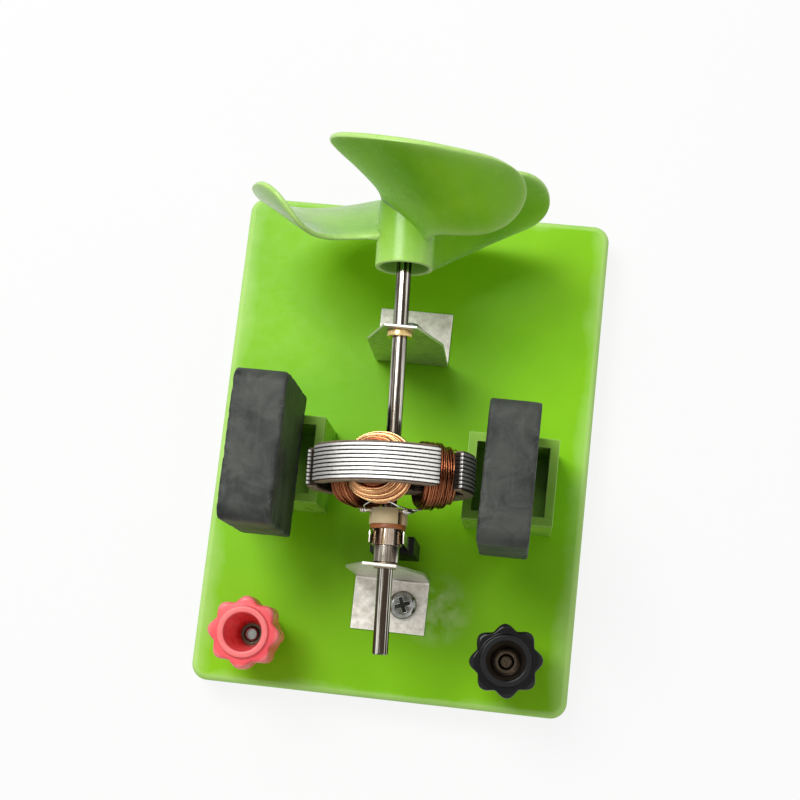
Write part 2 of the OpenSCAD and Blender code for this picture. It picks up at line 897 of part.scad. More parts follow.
// Outline of a lamination, or of a sheet a little smaller round its edge
module pole_outline(inset) {
    rotate([0, 0, pole_turn])
        difference() {
            union() {
                difference() {
                    circle(r = rotor_r - inset);
                    circle(r = shoe_in_r);
                    for (index = [0:pole_count - 1]) {
                        rotate([0, 0, (index + 0.5) * pole_step])
                            translate([-pole_gap / 2 - inset, 0])
                                square([pole_gap + 2 * inset, rotor_r + cut]);
                    }
                }
                circle(r = core_r);
                for (index = [0:pole_count - 1]) {
                    rotate([0, 0, index * pole_step])
                        translate([-neck_w / 2, 0])
                            square([neck_w, (shoe_in_r + rotor_r - inset) / 2]);
                }
            }
            circle(r = shaft_d / 2);
        }
}

// Laminations are numbered from the front
module lamination(number) {
    color("#bdbab4")
        drive_line()
            along_shaft(stack_front_y + (number - 1) * lamination_pitch, lamination_t)
                pole_outline(0);
}

module insulating_sheet(front_y) {
    color("#7a6a58")
        drive_line()
            along_shaft(front_y, sheet_t)
                pole_outline(sheet_inset);
}

// The outer layer of a winding is one wire: from a tab into the turns round the
// neck, which climb the pole, and back in front of them to the next tab.
wire_tab = let (r = hub_r + wire_rise, half = pole_step / 2) [
    r * sin(half) - wire_spread * cos(half),
    tab_rear_y - rotor_y,
    r * cos(half) + wire_spread * sin(half)
];
wire_bend_y = wire_tab[1] + wire_straight;
wire_bend = 0.9;

function loop_point(a) = [
    loop_half_w * cos(a),
    loop_half_l * sin(a),
    loop_first_z + turn_pitch * (a - first_angle) / 360
];

winding_route = concat(
    [wire_tab, [wire_tab[0], wire_bend_y, wire_tab[2]]],
    [for (a = [first_angle:360 / rings_per_turn:last_angle]) loop_point(a)],
    [
        [-loop_half_w, wire_bend_y + 2 * wire_bend, loop_last_z],
        [-loop_half_w, wire_bend_y + wire_bend / 2, loop_last_z - wire_bend],
        [-wire_tab[0], wire_bend_y + wire_bend / 2, wire_tab[2] + wire_bend],
        [-wire_tab[0], wire_bend_y, wire_tab[2]],
        [-wire_tab[0], wire_tab[1], wire_tab[2]]
    ]
);

// Least distance between the wire and itself, past the stretch that a bend shares
wire_skip = 4;
winding_clear = min([
    for (i = [0:len(winding_route) - 1 - wire_skip])
        for (j = [i + wire_skip:len(winding_route) - 1])
            norm(winding_route[i] - winding_route[j])
]) - wire_d;
echo(least_gap_of_a_winding_to_itself = winding_clear);

// The plain middle of a winding, round the neck
module winding_core() {
    steps = rings_per_turn;
    half_w = loop_half_w - wire_r - turn_seat;
    half_l = loop_half_l - wire_r - turn_seat;
    difference() {
        translate([0, 0, loop_first_z - wire_r])
            linear_extrude(height = loop_last_z - loop_first_z + wire_d)
                polygon([for (i = [0:steps - 1]) [
                    half_w * cos(360 * i / steps),
                    half_l * sin(360 * i / steps)
                ]]);
        translate([
            -neck_w / 2 - neck_gap,
            -stack_half - sheet_t - neck_gap,
            0
        ])
            cube([
                neck_w + 2 * neck_gap,
                2 * (stack_half + sheet_t + neck_gap),
                rotor_r
            ]);
    }
}

module winding(index) {
    color(copper)
        at_pole(index) {
            winding_core();
            tube(winding_route, wire_r, wire_sides, [0, 0, 1]);
        }
}

// ---------------------------------------------------------------- fan

function blade_half_w(rho) =
    fan_r * (blade_width_share * [1, rho, rho * rho]) * sqrt(1 - pow(rho, blade_tip_power));

function blade_middle(rho, v) =
    let (
        r = blade_root_r + (fan_r - blade_root_r) * rho,
        s = blade_half_w(rho) * v + fan_r * (blade_sweep_share * [rho, rho * rho]),
        turn = s / r * 180 / PI,
        camber = (blade_camber_share * [1, rho]) * s * s / fan_r,
        y = blade_mid_l + (blade_pitch_ratio * [1, rho]) * s + camber
            + fan_r * (blade_rake_share * [rho, rho * rho])
    )
    [-r * sin(turn), y, r * cos(turn)];

// One face of a blade: the middle surface moved half the thickness along its normal
function blade_face(rho, v, side) =
    let (
        out = blade_middle(min(rho + nudge, 1), v) - blade_middle(rho - nudge, v),
        over = blade_middle(rho, v + nudge) - blade_middle(rho, v - nudge)
    )
    blade_middle(rho, v) + side * blade_t / 2 * unit(cross(out, over));

module blade() {
    across = blade_steps_across + 1;
    sheet = (blade_steps_out + 1) * across;
    rhos = [for (i = [0:blade_steps_out])
        let (left = pow(1 - i / blade_steps_out, blade_crowding))
        blade_last_rho - (blade_last_rho - blade_first_rho) * left];
    points = [for (side = [1, -1], rho = rhos, j = [0:blade_steps_across])
        blade_face(rho, 2 * j / blade_steps_across - 1, side)];
    function at(side, i, j) = side * sheet + i * across + j;
    polyhedron(
        points = points,
        faces = concat(
            [for (i = [0:blade_steps_out - 1], j = [0:blade_steps_across - 1])
                [at(0, i, j), at(0, i, j + 1), at(0, i + 1, j)]],
            [for (i = [0:blade_steps_out - 1], j = [0:blade_steps_across - 1])
                [at(0, i, j + 1), at(0, i + 1, j + 1), at(0, i + 1, j)]],
            [for (i = [0:blade_steps_out - 1], j = [0:blade_steps_across - 1])
                [at(1, i, j), at(1, i + 1, j), at(1, i, j + 1)]],
            [for (i = [0:blade_steps_out - 1], j = [0:blade_steps_across - 1])
                [at(1, i, j + 1), at(1, i + 1, j), at(1, i + 1, j + 1)]],
            [for (i = [0:blade_steps_out - 1], end = [0, 1])
                let (j = end * blade_steps_across, a = at(0, i, j), b = at(0, i + 1, j),
                    c = at(1, i, j), d = at(1, i + 1, j))
                end == 0 ? [a, b, c] : [a, c, b]],
            [for (i = [0:blade_steps_out - 1], end = [0, 1])
                let (j = end * blade_steps_across, b = at(0, i + 1, j),
                    c = at(1, i, j), d = at(1, i + 1, j))
                end == 0 ? [b, d, c] : [b, c, d]],
            [for (j = [0:blade_steps_across - 1], end = [0, 1])
                let (i = end * blade_steps_out, a = at(0, i, j), b = at(0, i, j + 1), c = at(1, i, j))
                end == 0 ? [a, c, b] : [a, b, c]],
            [for (j = [0:blade_steps_across - 1], end = [0, 1])
                let (i = end * blade_steps_out, b = at(0, i, j + 1), c = at(1, i, j), d = at(1, i, j + 1))
                end == 0 ? [b, c, d] : [b, d, c]]
        )
    );
}

module fan() {
    dome_steps = 5;
    hub_r_out = fan_hub_d / 2;
    color(green)
        drive_line()
            translate([0, fan_front_y, 0])
                difference() {
                    union() {
                        rotate([-90, 0, 0])
                            rotate_extrude()
                                polygon(concat(
                                    [[0, 0], [hub_r_out, 0]],
                                    [for (i = [0:dome_steps])
                                        let (a = 90 * i / dome_steps)
                                        [
                                            hub_r_out - dome_drop * (1 - cos(a)),
                                            fan_hub_l - dome_drop * (1 - sin(a))
                                        ]],
                                    [[0, fan_hub_l]]
                                ));
                        for (index = [0:blade_count - 1]) {
                            rotate([0, index * 360 / blade_count, 0])
                                blade();
                        }
                    }
                    rotate([-90, 0, 0])
                        translate([0, 0, -cut])
                            cylinder(h = fan_cup + cut, r = hub_r_out - fan_hub_wall);
                    rotate([-90, 0, 0])
                        cylinder(h = fan_grip, d = shaft_d);
                }
}

// ---------------------------------------------------------------- brushes

module brush_holder() {
    color(black)
        drive_floor()
            difference() {
                translate([-block_half_w, brush_y - block_shift - block_l / 2, 0])
                    cube([2 * block_half_w, block_l, block_h]);
                brush_slots(-cut, block_h + cut);
                translate([0, brush_y - block_shift, -cut])
                    cylinder(h = small_grip_l + cut, d = small_shank_d);
            }
}

module brush_holder_screw() {
    color(steel)
        at_brush_screw()
            under_screw();
}

module brush(side) {
    low = -plate_t - brush_tail;
    color("#d8d4c8")
        drive_floor()
            translate([side * (brush_x + brush_t / 2) - brush_t / 2, brush_y - brush_w / 2, low])
                cube([brush_t, brush_w, axis_height + brush_rise - low]);
}

// ---------------------------------------------------------------- binding posts

module post_cap(side, turn) {
    lobe_ring_r = (lobe_over_d - lobe_d) / 2;
    lobe_z = cap_z + skirt_h;
    at_post(side)
        difference() {
            union() {
                translate([0, 0, cap_z])
                    cylinder(h = skirt_h, d = skirt_d);
                translate([0, 0, lobe_z])
                    linear_extrude(height = lobe_h) {
                        circle(d = lobe_root_d);
                        for (index = [0:lobe_count - 1]) {
                            rotate([0, 0, turn + index * 360 / lobe_count])
                                translate([lobe_ring_r, 0])
                                    circle(d = lobe_d);
                        }
                    }
                translate([0, 0, lobe_z + lobe_h])
                    cylinder(h = ring_h, d = ring_d);
            }
            rotate_extrude()
                polygon([
                    [0, cap_z - cut],
                    [insert_d / 2, cap_z - cut],
                    [insert_d / 2, socket_z],
                    [socket_d / 2, socket_z],
                    [mouth_d / 2, cap_top_z - mouth_lip],
                    [mouth_d / 2, cap_top_z + cut],
                    [0, cap_top_z + cut]
                ]);
        }
}

module post_insert(side) {
    color(brass)
        at_post(side)
            translate([0, 0, insert_z])
                difference() {
                    cylinder(h = insert_l, d = insert_d);
                    translate([0, 0, -cut])
                        cylinder(h = insert_l + 2 * cut, r = stud_d / 2 + stud_gap);
                }
}

module clamp_washer(side) {
    color(brass)
        at_post(side)
            translate([0, 0, clamp_z])
                difference() {
                    cylinder(h = clamp_t, d = clamp_d);
                    translate([0, 0, -cut])
                        cylinder(h = clamp_t + 2 * cut, r = stud_d / 2 + stud_gap);
                }
}

module post_stud(side) {
    color(steel)
        at_post(side)
            translate([0, 0, stud_low_z])
                cylinder(h = socket_z + stud_rise - stud_low_z, d = stud_d);
}

// A six-sided nut that grips the stud, from z = 0 up
module stud_nut() {
    difference() {
        cylinder(h = nut_h, r = nut_w / sqrt(3), $fn = 6);
        translate([0, 0, -cut])
            cylinder(h = nut_h + 2 * cut, d = stud_d);
    }
}

module post_collar(side) {
    color(brass)
        at_post(side)
            stud_nut();
}

module post_washers() {
    color(steel)
        at_posts()
            translate([0, 0, -plate_t - washer_t])
                difference() {
                    cylinder(h = washer_t, d = washer_d);
                    translate([0, 0, -cut])
                        cylinder(h = washer_t + 2 * cut, d = stud_d);
                }
}

module post_nuts() {
    color(brass)
        at_posts()
            translate([0, 0, -plate_t - washer_t - lug_t - nut_h])
                stud_nut();
}

module solder_lug(side) {
    color(steel)
        at_post(side)
            translate([0, 0, -plate_t - washer_t - lug_t])
                linear_extrude(height = lug_t)
                    difference() {
                        union() {
                            circle(d = lug_d);
                            translate([-lug_w / 2, 0])
                                square([lug_w, lug_l]);
                        }
                        circle(d = stud_d);
                    }
}

// Where a lead meets a brush's tail, in the whole part's frame
function brush_end(side, off) =
    let (x = side * (brush_x + brush_t + off), y = brush_y)
    [
        drive_offset + x * cos(drive_skew) - y * sin(drive_skew),
        x * sin(drive_skew) + y * cos(drive_skew),
        lead_z
    ];

function lead_route(side) =
    let (
        start = [side * post_x, post_y + lug_l, lead_z],
        leave = start + [0, lead_run, 0],
        reach = brush_end(side, lead_run) - leave
    )
    concat(
        [start],
        smooth_route([for (share = lead_share)
            leave + [share[0] * reach[0], share[1] * reach[1], 0]], lead_steps),
        [brush_end(side, 0)]
    );

module lead(side) {
    tube(lead_route(side), lead_d / 2, lead_sides, [0, 0, 1]);
}

// ---------------------------------------------------------------- pieces

base_plate();
magnet_holder(-1);  // left_magnet_holder
magnet_holder(1);  // right_magnet_holder
holder_screws();
left_magnet();
right_magnet();
front_bracket();
rear_bracket();
bracket_screws();
front_bush();
rear_bush();
shaft();
spacer_collar();
commutator_segment(0);  // commutator_segment_1
commutator_segment(1);  // commutator_segment_2
commutator_segment(2);  // commutator_segment_3
insulating_ring();
commutator_hub();
lamination(1);  // lamination_1
lamination(2);  // lamination_2
lamination(3);  // lamination_3
lamination(4);  // lamination_4
lamination(5);  // lamination_5
lamination(6);  // lamination_6
lamination(7);  // lamination_7
lamination(8);  // lamination_8
lamination(9);  // lamination_9
insulating_sheet(stack_front_y - sheet_t);  // front_insulating_sheet
insulating_sheet(rotor_y + stack_half);  // rear_insulating_sheet
winding(0);  // winding_1
winding(1);  // winding_2
winding(2);  // winding_3
fan();
brush_holder();
brush_holder_screw();
brush(-1);  // left_brush
brush(1);  // right_brush
color(red) post_cap(-1, 0);  // red_post_cap
post_insert(-1);  // red_post_insert
clamp_washer(-1);  // red_clamp_washer
post_stud(-1);  // red_post_stud
post_collar(-1);  // red_post_collar
color(black) post_cap(1, black_cap_turn);  // black_post_cap
post_insert(1);  // black_post_insert
clamp_washer(1);  // black_clamp_washer
post_stud(1);  // black_post_stud
post_collar(1);  // black_post_collar
post_washers();
post_nuts();
solder_lug(-1);  // red_solder_lug
solder_lug(1);  // black_solder_lug
color(red) lead(-1);  // red_lead
color(black) lead(1);  // black_lead
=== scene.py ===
"""Demonstration electric motor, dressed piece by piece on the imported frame.

Sizes are in millimetres until a mesh is made, and then in metres. The drive line
is the shaft's own frame: Y runs along the shaft towards the fan.
"""

from __future__ import annotations

import logging
import math
from collections.abc import Callable, Sequence
from dataclasses import dataclass, field
from enum import Enum

import bmesh
import bpy
import numpy as np
from mathutils import Matrix, Vector, noise


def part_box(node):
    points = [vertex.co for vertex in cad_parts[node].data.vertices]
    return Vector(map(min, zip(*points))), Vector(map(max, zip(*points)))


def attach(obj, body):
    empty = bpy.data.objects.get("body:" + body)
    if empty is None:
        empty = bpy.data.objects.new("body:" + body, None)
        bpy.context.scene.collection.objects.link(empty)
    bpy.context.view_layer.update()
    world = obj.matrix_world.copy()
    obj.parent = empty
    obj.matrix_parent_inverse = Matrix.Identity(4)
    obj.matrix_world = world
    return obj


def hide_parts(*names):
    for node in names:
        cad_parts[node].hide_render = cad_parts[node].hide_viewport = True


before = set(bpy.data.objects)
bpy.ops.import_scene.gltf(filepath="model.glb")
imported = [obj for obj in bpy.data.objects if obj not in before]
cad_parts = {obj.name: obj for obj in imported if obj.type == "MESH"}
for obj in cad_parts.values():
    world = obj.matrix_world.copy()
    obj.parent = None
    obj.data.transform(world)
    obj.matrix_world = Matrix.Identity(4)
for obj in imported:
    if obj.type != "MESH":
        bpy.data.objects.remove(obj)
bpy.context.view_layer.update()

LOG = logging.getLogger("motor")

Point2 = tuple[float, float]
Point3 = tuple[float, float, float]
Colour = Point3
Points = np.ndarray
Faces = list[tuple[int, ...]]
Piece = bpy.types.Object
Material = bpy.types.Material
Socket = bpy.types.NodeSocket
Shape = bmesh.types.BMesh
EdgeTest = Callable[[bmesh.types.BMEdge], bool]
Fed = Socket | float | str | tuple | list

MM = 0.001
DRIVE_SKEW = 2.8
DRIVE_ORIGIN = (0.45, 0.0, 42.5)
STILL = Matrix.Identity(4)
DRIVE = Matrix.Translation(DRIVE_ORIGIN) @ Matrix.Rotation(math.radians(DRIVE_SKEW), 4, "Z")
ALONG = Matrix.Rotation(math.radians(-90), 4, "X")
SHAFT = DRIVE @ ALONG

ROTOR_Y = -9.53
POLE_TURN = 11.35
POLE_COUNT = 3
BASE_TOP = 10.0
SHAFT_RADIUS = 1.5
POST_AT = (26.6, -43.0)


class Body(str, Enum):
    """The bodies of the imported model."""

    BASE = "base"
    ROTOR = "rotor"
    RED_CLAMP = "red_clamp"
    RED_CAP = "red_cap"
    BLACK_CLAMP = "black_clamp"
    BLACK_CAP = "black_cap"


class Grain(Enum):
    """How the marks of a finish run."""

    EVEN = (1.0, 1.0, 1.0)
    ALONG_SHAFT = (1.0, 0.035, 1.0)
    DRAWN = (1.0, 0.006, 1.0)
    ACROSS_SHAFT = (0.08, 1.0, 1.0)
    UPRIGHT = (1.0, 1.0, 0.06)


# ------------------------------------------------------------------ finishes


class Graph:
    """A node tree that is built node by node."""

    def __init__(self, tree: bpy.types.NodeTree) -> None:
        """Take up a tree."""
        self.tree = tree

    def add(self, kind: str, *numbered: Fed, **named: Fed) -> bpy.types.Node:
        """Add a node.

        Args:
            kind: The node's type.
            *numbered: Its first inputs in order, as sockets or values.
            **named: Properties in lower case, and inputs by name, with _ for a space.

        Returns:
            The new node.
        """
        node = self.tree.nodes.new(kind)
        for key in filter(str.islower, named):
            setattr(node, key, named[key])
        self.feed_all(node, {key: value for key, value in named.items() if not key.islower()})
        for number, value in enumerate(numbered):
            self.feed(node.inputs[number], value)
        return node

    def feed_all(self, node: bpy.types.Node, inputs: dict[str, Fed]) -> None:
        """Feed inputs of a node by name, with _ for a space."""
        for key, value in inputs.items():
            self.feed(node.inputs[key.replace("_", " ")], value)

    def feed(self, socket: Socket, value: Fed) -> None:
        """Link a socket to another one, or set its value.

        Args:
            socket: The socket.
            value: The other socket, or the value.
        """
        if isinstance(value, Socket):
            self.tree.links.new(value, socket)
        elif isinstance(value, tuple) and len(value) == 3 and socket.type == "RGBA":
            socket.default_value = (*value, 1.0)
        else:
            socket.default_value = value

    def sums(self, operation: str, first: Fed, second: Fed = 0.0) -> Socket:
        """One arithmetic operation on two values."""
        return self.add("ShaderNodeMath", first, second, operation=operation).outputs[0]

    def times(self, first: Fed, second: Fed) -> Socket:
        """The product of two values."""
        return self.sums("MULTIPLY", first, second)


class Paint(Graph):
    """The node graph of one material, in millimetres of the drive line's frame."""

    def __init__(self, name: str) -> None:
        """Start a material under a name."""
        self.material = bpy.data.materials.new(name)
        self.material.use_nodes = True
        super().__init__(self.material.node_tree)

    def place(self, grain: Grain = Grain.EVEN) -> Socket:
        """Coordinates in millimetres of the drive line's frame, stretched along the grain.

        Args:
            grain: How they are stretched.

        Returns:
            The coordinates.
        """
        frame = self.add("ShaderNodeMapping", vector_type="TEXTURE", Vector=self.coords(),
                         Location=[value * MM for value in DRIVE_ORIGIN],
                         Rotation=(0, 0, math.radians(DRIVE_SKEW)), Scale=(MM, MM, MM))
        if grain is Grain.EVEN:
            return frame.outputs[0]
        return self.add("ShaderNodeMapping", Vector=frame.outputs[0], Scale=grain.value).outputs[0]

    def coords(self) -> Socket:
        """Coordinates in metres of the object's frame."""
        return self.add("ShaderNodeTexCoord").outputs["Object"]

    def noise(self, scale: float, detail: float = 3.0, rough: float = 0.55, warp: float = 0.0,
              grain: Grain = Grain.EVEN) -> Socket:
        """Noise from 0 to 1, with scale in features for each millimetre."""
        return self.add("ShaderNodeTexNoise", Vector=self.place(grain), Scale=scale,
                        Detail=detail, Roughness=rough, Distortion=warp).outputs["Fac"]

    def span(self, value: Socket, low: float, high: float, start: float = 0.0,
             end: float = 1.0) -> Socket:
        """A value carried from low..high to start..end, and held there."""
        return self.add("ShaderNodeMapRange", Value=value, From_Min=low, From_Max=high,
                        To_Min=start, To_Max=end).outputs["Result"]

    def mix(self, factor: Socket, first: Fed, second: Fed) -> Socket:
        """A colour between two colours.

        Args:
            factor: The share of the second colour.
            first: The first colour.
            second: The second colour.

        Returns:
            The colour.
        """
        node = self.add("ShaderNodeMix", factor, data_type="RGBA")
        self.feed(node.inputs[6], first)
        self.feed(node.inputs[7], second)
        return node.outputs[2]

    def part(self, vector: Socket, axis: int) -> Socket:
        """One coordinate of a vector."""
        return self.add("ShaderNodeSeparateXYZ", Vector=vector).outputs[axis]

    def length(self, vector: Socket) -> Socket:
        """The length of a vector."""
        return self.add("ShaderNodeVectorMath", vector, operation="LENGTH").outputs["Value"]

    def attribute(self, name: str) -> Socket:
        """A number stored on the piece's points, or 0 where there is none."""
        return self.add("ShaderNodeAttribute", attribute_name=name).outputs["Fac"]

    def edge(self, low: float = 0.35, high: float = 0.75) -> Socket:
        """How strongly an edge is marked here, broken up by noise: worn on metal, and painted edge
        light on plastic.
        """
        return self.times(self.attribute("edge"), self.span(self.noise(0.9, 4.0, 0.7), low, high))

    def bump(self, height: Socket, depth: float, **under: Socket) -> Socket:
        """A normal for marks of some depth in millimetres, over the Normal in under."""
        return self.add("ShaderNodeBump", Strength=1.0, Distance=depth * MM, Height=height,
                        **under).outputs[0]

    def finish(self, **inputs: Fed) -> Material:
        """Set the shader's sockets and return the material."""
        self.feed_all(self.tree.nodes["Principled BSDF"], inputs)
        return self.material


@dataclass(frozen=True)
class Plastic:
    """A moulded plastic whose thin and rounded edges are painted paler, as painted edge light."""

    name: str
    slot: str
    colour: Colour
    deep: Colour
    pale: Colour
    rough: float = 0.32
    glow: float = 0.0
    shine: float = 0.2
    sheen: float = 0.0
    grain_depth: float = 0.006
    edge_light_share: float = 0.7
    cloud_scale: float = 0.07

    def base(self, paint: Paint) -> Socket:
        """The body colour, with slow clouds and small specks of a deeper one.

        Args:
            paint: The material's graph.

        Returns:
            The colour.
        """
        cloud = paint.span(paint.noise(self.cloud_scale, 3.0, 0.5), 0.35, 0.7)
        speck = paint.span(paint.noise(2.6, 2.0), 0.62, 0.8, 0.0, 0.35)
        return paint.mix(speck, paint.mix(cloud, self.colour, self.deep), self.deep)

    def material(self) -> Material:
        """The finish, with painted light on its edges, fine grain and hairline scratches.

        Returns:
            The material.
        """
        paint = Paint(self.name)
        # Painted light: points marked as edge are mixed towards the pale colour.
        edge = paint.times(paint.edge(-0.1, 0.5), self.edge_light_share)
        dull = paint.span(paint.noise(0.25, 5.0, 0.65), 0.3, 0.7,
                          self.rough - 0.07, self.rough + 0.1)
        line = paint.noise(2.2, 2.0, 0.4, 0.6, Grain.ACROSS_SHAFT)
        scratch = paint.span(line, 0.71, 0.75)
        grain = paint.bump(paint.noise(5.0), self.grain_depth)
        return paint.finish(
            Base_Color=paint.mix(edge, self.base(paint), self.pale), IOR=1.5,
            Roughness=paint.sums("ADD", dull, paint.times(scratch, 0.15)),
            Normal=paint.bump(scratch, -self.grain_depth, Normal=grain),
            Specular_IOR_Level=self.shine, Sheen_Weight=self.sheen, Sheen_Roughness=0.35,
            Subsurface_Weight=self.glow, Subsurface_Scale=0.0015,
            Subsurface_Radius=(1.0, 1.0, 0.4))


@dataclass(frozen=True)
class BasePlastic(Plastic):
    """The base's plastic, with painted light along its rim and blushed beside the front screw."""

    half_w: float = 40.0
    half_l: float = 53.5
    rim_light_w: float = 4.2
    blush_at: Point2 = (10.6, -33.5)
    blush_reach: float = 8.5

    def base(self, paint: Paint) -> Socket:
        """The body colour with the painted light along the rim and the blush.

        Args:
            paint: The material's graph.

        Returns:
            The colour.
        """
        coords = paint.coords()
        wave = paint.span(paint.noise(0.08), 0.3, 0.7, -0.0014, 0.0014)
        # Painted light: a pale band along the rim, wavering with noise.
        rim_lights = []
        for axis, start, end, most in ((0, self.half_w - self.rim_light_w, self.half_w - 0.2, 1.0),
                                       (1, self.half_l - 2.0, self.half_l - 0.1, 0.6)):
            out = paint.sums("ADD", paint.sums("ABSOLUTE", paint.part(coords, axis)), wave)
            rim_lights.append(paint.span(out, start * MM, end * MM, 0.0, most))
        rim = paint.times(paint.sums("MAXIMUM", *rim_lights), 0.45)
        body = paint.mix(rim, super().base(paint), self.pale)
        x, y = self.blush_at
        away = paint.add("ShaderNodeMapping", Vector=coords, Location=(-x * MM, -y * MM, -0.01))
        near = paint.span(paint.length(away.outputs[0]), 1.5 * MM, self.blush_reach * MM, 1.0, 0.0)
        streaks = paint.span(paint.noise(0.3, 4.0, 0.6, 0.25), 0.36, 0.64)
        return paint.mix(paint.times(paint.times(near, streaks), 0.85), body, self.pale)


@dataclass(frozen=True)
class Metal:
    """A bare or plated metal with marks along its grain, which on the shaft, collar and commutator
    segments are also painted reflection.
    """

    name: str
    slot: str
    colour: Colour
    mottle_and_reflection_tint: Colour
    rough: float = 0.25
    scale: float = 2.0
    tint_from: Point2 = (0.35, 0.7)
    grain: Grain = Grain.EVEN
    worn: Colour = (0.9, 0.89, 0.86)
    depth: float = 0.004
    spots: float = 0.0
    cloudy: float = 0.3

    def material(self) -> Material:
        """The finish, with stained spots, bright worn edges, painted shade in recesses and grain
        streaks that are partly painted reflection.

        Returns:
            The material.
        """
        paint = Paint(self.name)
        marks = paint.noise(self.scale, 5.0, 0.65, 0.2, self.grain)
        tone = paint.sums("ADD", paint.times(marks, 1 - self.cloudy),
                          paint.times(paint.noise(0.35), self.cloudy))
        spot = paint.span(paint.noise(1.7, 6.0, 0.75), 0.64, 0.7)
        # The dark streaks along the drawn grain of the shaft, collar and segments are painted
        # reflection as well as drawing marks.
        body = paint.mix(paint.span(tone, *self.tint_from), self.colour, self.mottle_and_reflection_tint)
        body = paint.mix(paint.times(spot, self.spots), body, (0.1, 0.07, 0.05))
        body = paint.mix(paint.edge(), body, self.worn)
        # Painted shade: points marked as recess are painted near black.
        body = paint.mix(paint.attribute("recess"), body, (0.05, 0.05, 0.046))
        rough = paint.span(marks, 0.25, 0.75, self.rough * 0.7, self.rough * 1.5)
        return paint.finish(
            Base_Color=body, Metallic=1.0, Normal=paint.bump(marks, self.depth),
            Roughness=paint.sums("ADD", rough, paint.times(spot, self.spots * 0.3)))


@dataclass(frozen=True)
class EnamelledCopper:
    """Varnished copper wire, whose turns differ in tone; darker tones also stand for painted shade
    on the core, the inner layer and the two lower windings.
    """

    name: str = "copper_enamel"
    slot: str = "copper_wire"
    bright: Colour = (0.95, 0.57, 0.27)
    middle: Colour = (0.5, 0.17, 0.07)
    deep: Colour = (0.1, 0.022, 0.014)

    def material(self) -> Material:
        """The finish as a material.

        Returns:
            The material.
        """
        paint = Paint(self.name)
        turn = paint.attribute("turn")
        fine = paint.noise(3.2)
        body = paint.mix(paint.span(turn, 0.15, 0.85), self.bright, self.middle)
        # Painted shade: a high turn number darkens the wire towards the deep colour.
        shade = paint.sums("ADD", paint.times(turn, 0.45),
                           paint.times(paint.noise(0.22, 3.0, 0.6), 0.75))
        return paint.finish(
            Base_Color=paint.mix(paint.span(shade, 0.5, 0.95, 0.0, 0.85), body, self.deep),
            Metallic=1.0, Roughness=paint.span(fine, 0.3, 0.7, 0.16, 0.3),
            Normal=paint.bump(fine, 0.005))


@dataclass(frozen=True)
class PressedFerrite:
    """Pressed black ferrite, dusty and chipped along its edges."""

    name: str = "ferrite_black"
    slot: str = "ferrite"
    colour: Colour = (0.016, 0.018, 0.016)
    dusty: Colour = (0.068, 0.073, 0.064)
    chip: Colour = (0.2, 0.21, 0.19)

    def material(self) -> Material:
        """The finish as a material.

        Returns:
            The material.
        """
        paint = Paint(self.name)
        cloud = paint.noise(0.16, 5.0, 0.62, 0.8)
        fine = paint.noise(4.5, 5.0, 0.7)
        rub = paint.noise(1.6, 4.0, 0.6, 0.3, Grain.ALONG_SHAFT)
        body = paint.mix(paint.span(cloud, 0.35, 0.68), self.colour, self.dusty)
        body = paint.mix(paint.span(rub, 0.56, 0.74, 0.0, 0.45), body, self.dusty)
        body = paint.mix(paint.span(fine, 0.7, 0.78, 0.0, 0.5), body, self.chip)
        chips = paint.span(paint.noise(1.3, 5.0, 0.75), 0.56, 0.66)
        body = paint.mix(paint.times(paint.attribute("edge"), chips), body, self.chip)
        return paint.finish(
            Base_Color=body, Roughness=paint.span(fine, 0.3, 0.7, 0.42, 0.66), IOR=1.5,
            Normal=paint.bump(cloud, 0.05, Normal=paint.bump(fine, 0.03)),
            Specular_IOR_Level=0.25)


@dataclass(frozen=True)
class LaminationSteel:
    """Bright ground steel on the rim of the stack, with dark varnish everywhere else."""

    name: str = "lamination_steel"
    slot: str = "steel"
    rim: Colour = (0.96, 0.95, 0.91)
    dull: Colour = (0.62, 0.6, 0.54)
    varnish: Colour = (0.035, 0.026, 0.02)
    rim_radius: Point2 = (15.7, 16.2)
    first_gap: float = -12.995
    pitch: float = 0.77

    def material(self) -> Material:
        """The finish as a material.

        Returns:
            The material.
        """
        paint = Paint(self.name)
        skew = math.radians(DRIVE_SKEW)
        turned = paint.add("ShaderNodeVectorMath",
                           paint.add("ShaderNodeTexCoord").outputs["Normal"],
                           (-math.sin(skew), math.cos(skew), 0), operation="DOT_PRODUCT")
        facing = paint.sums("ABSOLUTE", turned.outputs["Value"])
        place = paint.place()
        flat = paint.add("ShaderNodeVectorMath", place, (1, 0, 1), operation="MULTIPLY")
        inward = paint.span(paint.length(flat.outputs[0]), *self.rim_radius, 1.0, 0.0)
        from_gap = paint.sums("PINGPONG", paint.sums("SUBTRACT", paint.part(place, 1),
                                                     self.first_gap), self.pitch / 2)
        wander = paint.span(paint.noise(2.2), 0.3, 0.7, -0.04, 0.04)
        gap = paint.span(paint.sums("ADD", from_gap, wander), 0.07, 0.19, 1.0, 0.0)
        streak = paint.noise(3.4, 4.0, 0.6, 0.0, Grain.ACROSS_SHAFT)
        spot = paint.span(paint.noise(2.3, 4.0, 0.7), 0.64, 0.68)
        bright = paint.mix(paint.span(streak, 0.4, 0.75, 0.0, 0.5), self.rim, self.dull)
        bright = paint.mix(paint.sums("MAXIMUM", paint.times(spot, 0.8), gap),
                           bright, self.varnish)
        grime = paint.span(paint.noise(1.1, 5.0, 0.7), 0.2, 0.8, -0.15, 0.15)
        level = paint.sums("ADD", facing, grime)
        covered = paint.sums("MAXIMUM", paint.span(level, 0.35, 0.7), inward)
        return paint.finish(
            Base_Color=paint.mix(covered, bright, self.varnish), Metallic=0.65,
            Specular_IOR_Level=0.2, Roughness=paint.span(covered, 0.0, 1.0, 0.46, 0.5),
            Normal=paint.bump(streak, 0.006))


